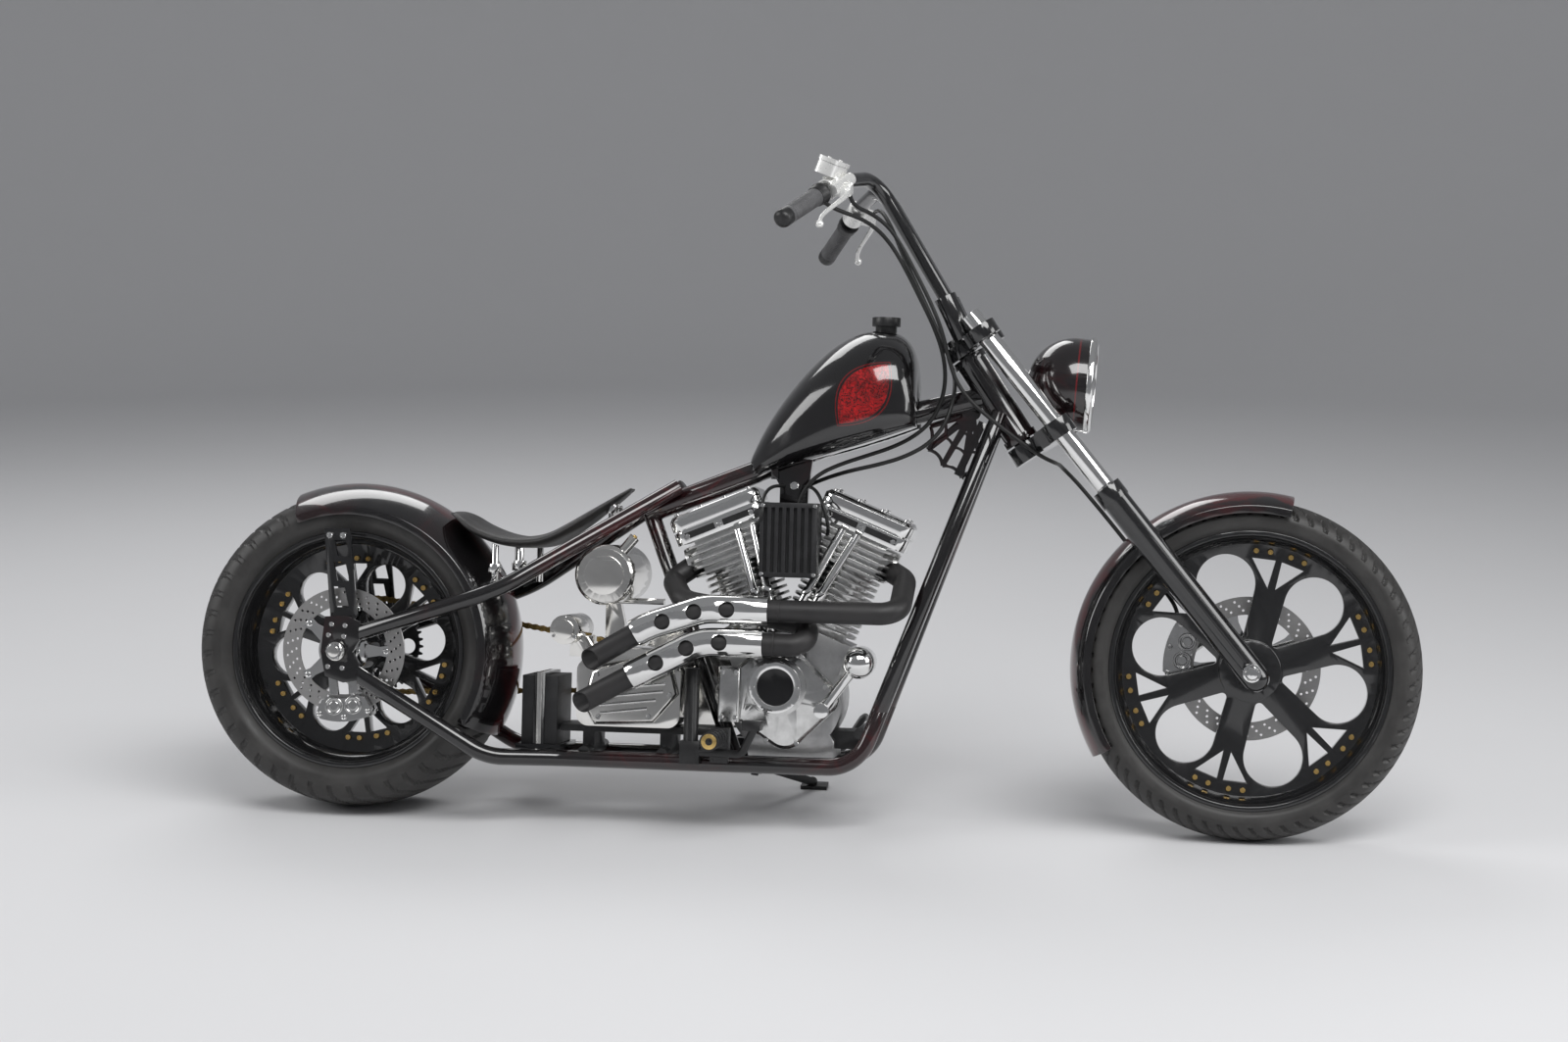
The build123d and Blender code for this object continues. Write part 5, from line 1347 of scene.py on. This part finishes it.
class CHOPPER_OT_cables(bpy.types.Operator):
    """Control cables, brake hose and spark leads"""

    bl_idname = "chopper.cables"
    bl_label = "Cables"

    def execute(self, context):
        size = context.scene.chopper_sizes.cable / MM
        lines = (("throttle_cable", THROTTLE_ROUTE, 150, size, None, "handlebar"),
                 ("clutch_cable", CLUTCH_ROUTE, 150, size, None, "handlebar"),
                 ("front_brake_hose", HOSE_ROUTE, 190, size, "fork", "handlebar"),
                 ("rear_spark_lead", LEAD_ROUTES[0], 40, SPARK_LEAD, "frame", "air_cleaner"),
                 ("front_spark_lead", LEAD_ROUTES[1], 40, SPARK_LEAD, "frame", "air_cleaner"))
        for name, route, count, radius, body, slot in lines:
            path = smoothed(route, count)
            bm = bmesh.new()
            tube(bm, path, radius, 10)
            made = piece(name, bm, finish("cable_black"), body)
            if not body:
                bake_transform(made)
        return {"FINISHED"}


# Engine: crank axis, each cylinder's lean in degrees and half the width of a rocker box
CRANK = Vector((905, 0, 259))
CYLINDER_LEAN = 22.5
ROCKER_HALF = 71.0


def on_cylinder(side, x, y, z):
    """Point in a cylinder's own frame: side 1 is the front one; z runs out from the crank."""
    lean = math.radians(CYLINDER_LEAN * side)
    ahead = x * math.cos(lean) + z * math.sin(lean)
    above = z * math.cos(lean) - x * math.sin(lean)
    return CRANK + Vector((ahead, y, above))


def rocker_screws():
    """Screws on the lid and the right wall of each rocker box."""
    spots = []
    for side in BOTH_SIDES:
        up = on_cylinder(side, 0, 0, 1) - CRANK
        for x in (-78, -26, 26, 78):
            for y in (-52, 52):
                spots.append((on_cylinder(side, x, y, 426), up))
        for x in (-70, 0, 70):
            spots.append((on_cylinder(side, x, -ROCKER_HALF, 379), Vector((0, -1, 0))))
    return spots


def ring_screws(x, z, radius, y, count, first, side):
    """Screws evenly round a circle in the side view."""
    centre = Vector((x, 0, z))
    angles = [first + number * 360 / count for number in range(count)]
    return [(spun(radius, angle, y, centre), Vector((0, side, 0))) for angle in angles]


def side_screws(points, y, side):
    """Screws at points of the side view, on a face that looks left, side 1, or right, side -1."""
    return [(Vector((x, y, z)), Vector((0, side, 0))) for x, z in points]


# Screw places in the side view, (x, z)
CAM_COVER_RIM = ((803, 298), (790, 250), (872, 176), (934, 172), (996, 246), (990, 288), (932, 350),
                 (846, 344))
GEARBOX_RIM = ((528, 212), (632, 216), (674, 262), (662, 304), (590, 318), (522, 298), (508, 244))
PUMP_CORNERS = ((784, 314), (812, 314), (784, 222), (812, 222))
AIR_BOX_CORNERS = ((857, 650), (963, 650), (857, 512), (963, 512))
FENDER_TABS = ((-26, 566), (2, 566))
AXLE_PLATE = ((-12, 386), (16, 384), (-18, 364), (14, 362), (-18, 300), (12, 298))
TOP_MOUNT = ((906, 692),)
# Fasteners on the frame: (piece name, finish, slot, head radius, head height, [(point, direction)])
FASTENERS = (
    ("rocker_screws", "chrome", "rocker_boxes", 5.6, 5.0, rocker_screws()),
    ("cam_cover_screws", "chrome", "cam_cover", 5.0, 4.5, side_screws(CAM_COVER_RIM, -112, -1)),
    ("points_cover_screws", "chrome", "points_cover", 3.6, 3.0,
     side_screws(((POINTS_X - 45, POINTS_Z), (POINTS_X + 45, POINTS_Z)), -140, -1)),
    ("primary_screws", "chrome", "primary_cover", 5.2, 5.0,
     ring_screws(655, 286, 80, 214, 6, 60, 1)[:4] + ring_screws(CRANK.x, CRANK.z, 64, 214, 6, 0, 1)
     + side_screws(((780, 348), (776, 206)), 214, 1)),
    ("clutch_cover_screws", "chrome", "primary_cover", 4.4, 4.0, ring_screws(655, 286, 60, 222, 5, 18, 1)),
    ("gearbox_screws", "chrome", "gearbox", 5.0, 5.0, side_screws(GEARBOX_RIM, -112, -1)),
    ("fender_screws_right", "chrome", "fender_struts", 6.4, 6.0, side_screws(FENDER_TABS, -164, -1)),
    ("fender_screws_left", "chrome", "fender_struts", 6.4, 6.0, side_screws(FENDER_TABS, 164, 1)),
    ("axle_plate_screws_right", "chrome", "lower_stays", 5.0, 4.5, side_screws(AXLE_PLATE, -182, -1)),
    ("axle_plate_screws_left", "chrome", "lower_stays", 5.0, 4.5, side_screws(AXLE_PLATE, 182, 1)),
    ("top_mount_screws", "chrome", "backbone", 9.0, 7.0,
     side_screws(TOP_MOUNT, -20, -1) + side_screws(TOP_MOUNT, 20, 1)),
    ("pump_screws", "chrome", "cam_cover", 4.6, 4.0, side_screws(PUMP_CORNERS, -140, -1)),
    ("starter_screws", "chrome", "gearbox", 3.4, 3.0, ring_screws(452, 386, 25, -104, 3, 90, -1)),
    ("air_box_screws", "chrome", "air_cleaner", 4.2, 3.0, side_screws(AIR_BOX_CORNERS, -142, -1)),
    ("oil_tank_screws", "gold_bolt", "oil_tank", 4.4, 4.0,
     [(Vector((590, -92, 578)), Vector((0.62, 0, 0.78)))]),
)
# Axle nuts: (piece name, centre, place out, body, slot, radius, height)
AXLE_NUTS = (("rear_axle_nuts", REAR_AXLE, 196, "frame", "rear_axle", 18, 12),
             ("front_axle_nuts", FRONT_AXLE, 148, "fork", "front_axle", 16, 10))


class CHOPPER_OT_fasteners(bpy.types.Operator):
    """Screws, nuts and studs of the engine, frame and fenders"""

    bl_idname = "chopper.fasteners"
    bl_label = "Fasteners"

    def execute(self, context):
        for name, colour, slot, radius, height, spots in FASTENERS:
            bm = bmesh.new()
            for point, direction in spots:
                cap_screw(bm, point, direction, radius, height)
            piece(name, bm, finish(colour), "frame")
        for name, centre, reach, body, slot, radius, height in AXLE_NUTS:
            bm = bmesh.new()
            for side in BOTH_SIDES:
                hex_nut(bm, centre + Vector((0, side * reach, 0)), (0, side, 0), radius, height)
            piece(name, bm, finish("chrome"), body)
        return {"FINISHED"}


# Trim: dark sheets on the rocker boxes' sides as painted shade of their slots, ribs on the gearbox, bands on
# the pipes
ROCKER_SLOT_SHADE = (((-74, -10), (374, 387)), ((8, 76), (374, 387)))
SLOT_SHADE_PROUD = 0.4
GEARBOX_RIBS = ((532, 220, 628, 232), (528, 236, 646, 250), (528, 252, 660, 268), (532, 268, 664, 284))
# Bands round the pipes: (point, direction, radius, width)
PIPE_BANDS = (((900, -190, 440), (1, 0, 0), 23.6, 5.0), ((890, -190, 374), (1, 0, 0), 23.6, 5.0))
PIPE_RADIUS = 22.0


class CHOPPER_OT_engine_trim(bpy.types.Operator):
    """Painted shade for the rocker box slots, ribs and bands on the engine, gearbox and pipes"""

    bl_idname = "chopper.engine_trim"
    bl_label = "Engine trim"

    def execute(self, context):
        bm = bmesh.new()
        for side in BOTH_SIDES:
            # Thin black sheets, just proud of each rocker box face, are painted shade standing in for the
            # slots
            for (x0, x1), (z0, z1) in ROCKER_SLOT_SHADE:
                for face in BOTH_SIDES:
                    outline = ((x0, z0), (x1, z0), (x1, z1), (x0, z1))
                    corners = [on_cylinder(side, x, face * ROCKER_HALF, z) for x, z in outline]
                    proud = [corner + Vector((0, face * SLOT_SHADE_PROUD, 0)) for corner in corners]
                    low = [bm.verts.new(corner) for corner in corners]
                    top = [bm.verts.new(corner) for corner in proud]
                    bm.faces.new(top)
                    bm.faces.new(list(reversed(low)))
                    for k in range(4):
                        bm.faces.new((low[k], low[(k + 1) % 4], top[(k + 1) % 4], top[k]))
        piece("rocker_windows", bm, finish("satin_black"), "frame")
        bm = bmesh.new()
        for x0, z0, x1, z1 in GEARBOX_RIBS:
            rib = [Vector((x0, -112, z0)).lerp(Vector((x1, -112, z1)), k / 6) for k in range(7)]
            tube(bm, rib, 3.6, 10)
        piece("gearbox_ribs", bm, finish("polished_alloy"), "frame")
        bm = bmesh.new()
        for point, direction, radius, width in PIPE_BANDS:
            band = ((PIPE_RADIUS, 0), (radius, 0.6), (radius, width - 0.6), (PIPE_RADIUS, width))
            lathe(bm, band, frame_along(point, direction), 40)
        piece("pipe_bands", bm, finish("exhaust_black"), "frame")
        return {"FINISHED"}


# Camera, measured from the rear axle
CAMERA_FROM_AXLE = Vector((1.597, -5.8149, 1.2065))
CAMERA_YAW = math.radians(-6.94)
CAMERA_PITCH = math.radians(-8.88)
CAMERA_ROLL = math.radians(0.44)
# Floor and wall
BOWL_RADIUS = 13.0
BOWL_BEND = 5.0
BOWL_HEIGHT = 9.0
# Lights: (name, place, size across, size up, the setting that gives its power)
LIGHTS = (("key", (1.6, -3.2, 4.6), 4.2, 2.2, "key_power"),
          ("back", (-1.8, 3.4, 4.2), 4.0, 2.0, "fill_power"),
          ("left", (-4.6, -1.8, 2.6), 2.4, 2.4, "fill_power"),
          ("right", (4.8, -1.2, 2.4), 2.4, 2.4, "fill_power"))
LIGHTS_AIM = Vector((0, 0, 0.45))
SKY = (0.55, 0.56, 0.58, 1.0)
SKY_STRENGTH = 0.42
SENSOR = 36.0


class CHOPPER_OT_stage(bpy.types.Operator):
    """Pale round floor that curves up into a wall, soft lights and the camera"""

    bl_idname = "chopper.stage"
    bl_label = "Stage"

    def execute(self, context):
        settings = context.scene.chopper_stage
        bm = bmesh.new()
        flat = BOWL_RADIUS - BOWL_BEND
        profile = [(0, 0), (flat, 0)]
        for k in range(1, 13):
            turn = math.pi / 2 * k / 12
            profile.append((flat + BOWL_BEND * math.sin(turn), BOWL_BEND * (1 - math.cos(turn))))
        profile.append((BOWL_RADIUS, BOWL_HEIGHT))
        lathe(bm, profile, Matrix.Identity(4), 96)
        mesh = bpy.data.meshes.new("studio_floor")
        bm.to_mesh(mesh)
        bm.free()
        mesh.polygons.foreach_set("use_smooth", [True] * len(mesh.polygons))
        made = Finish("studio_floor", 0.0, 0.7)
        made.feed("Base Color", made.mix(made.noise(3.0, 4.0), shade(settings.floor, 0.985), settings.floor))
        made.set("Specular IOR Level", 0.2)
        mesh.materials.append(made.material)
        floor = bpy.data.objects.new("studio_floor", mesh)
        context.scene.collection.objects.link(floor)
        for name, place, wide, tall, power in LIGHTS:
            lamp = bpy.data.lights.new(name, "AREA")
            lamp.shape = "RECTANGLE"
            lamp.size = wide
            lamp.size_y = tall
            lamp.energy = getattr(settings, power)
            holder = bpy.data.objects.new(name, lamp)
            holder.location = place
            aim = LIGHTS_AIM - Vector(place)
            holder.rotation_euler = aim.to_track_quat("-Z", "Y").to_euler()
            context.scene.collection.objects.link(holder)
        world = bpy.data.worlds.new("studio")
        context.scene.world = world
        world.use_nodes = True
        back = world.node_tree.nodes["Background"]
        back.inputs["Color"].default_value = SKY
        back.inputs["Strength"].default_value = SKY_STRENGTH
        camera = bpy.data.objects.new("camera", bpy.data.cameras.new("camera"))
        camera.data.sensor_width = SENSOR
        camera.data.lens = settings.lens
        level = math.cos(CAMERA_PITCH)
        look = Vector((math.sin(CAMERA_YAW) * level, math.cos(CAMERA_YAW) * level, math.sin(CAMERA_PITCH)))
        side = Vector((math.cos(CAMERA_YAW), -math.sin(CAMERA_YAW), 0))
        up = side.cross(look)
        across = side * math.cos(CAMERA_ROLL) + up * math.sin(CAMERA_ROLL)
        upward = across.cross(look)
        turn = Matrix((across, upward, -look)).transposed().to_4x4()
        camera.matrix_world = Matrix.Translation(REAR_AXLE_ROW + CAMERA_FROM_AXLE) @ turn
        context.scene.collection.objects.link(camera)
        context.scene.camera = camera
        context.scene.view_settings.view_transform = "Standard"
        return {"FINISHED"}


OPERATORS = (CHOPPER_OT_finishes, CHOPPER_OT_tyres, CHOPPER_OT_wheel_bolts, CHOPPER_OT_discs,
             CHOPPER_OT_calipers, CHOPPER_OT_chain, CHOPPER_OT_seat, CHOPPER_OT_grips, CHOPPER_OT_controls,
             CHOPPER_OT_lamp, CHOPPER_OT_cables, CHOPPER_OT_fasteners, CHOPPER_OT_engine_trim,
             CHOPPER_OT_stage)
GROUPS = (("chopper_sizes", ChopperSizes), ("chopper_colours", ChopperColours),
          ("chopper_stage", StageSettings))


class CHOPPER_PT_panel(bpy.types.Panel):
    """Lists the parts and the sizes and colours that they take"""

    bl_idname = "CHOPPER_PT_panel"
    bl_label = "Chopper"
    bl_space_type = "VIEW_3D"
    bl_region_type = "UI"
    bl_category = "Chopper"

    def draw(self, context):
        for name, group in GROUPS:
            for setting in group.__annotations__:
                self.layout.prop(getattr(context.scene, name), setting)
        for operator in OPERATORS:
            self.layout.operator(operator.bl_idname)


def register():
    for name, group in GROUPS:
        bpy.utils.register_class(group)
        setattr(bpy.types.Scene, name, PointerProperty(type=group))
    for operator in OPERATORS:
        bpy.utils.register_class(operator)
    bpy.utils.register_class(CHOPPER_PT_panel)


def unregister():
    bpy.utils.unregister_class(CHOPPER_PT_panel)
    for operator in reversed(OPERATORS):
        bpy.utils.unregister_class(operator)
    for name, group in reversed(GROUPS):
        delattr(bpy.types.Scene, name)
        bpy.utils.unregister_class(group)


def main():
    register()
    for operator in OPERATORS:
        getattr(bpy.ops.chopper, operator.bl_idname.split(".")[1])()


if __name__ == "__main__":
    main()
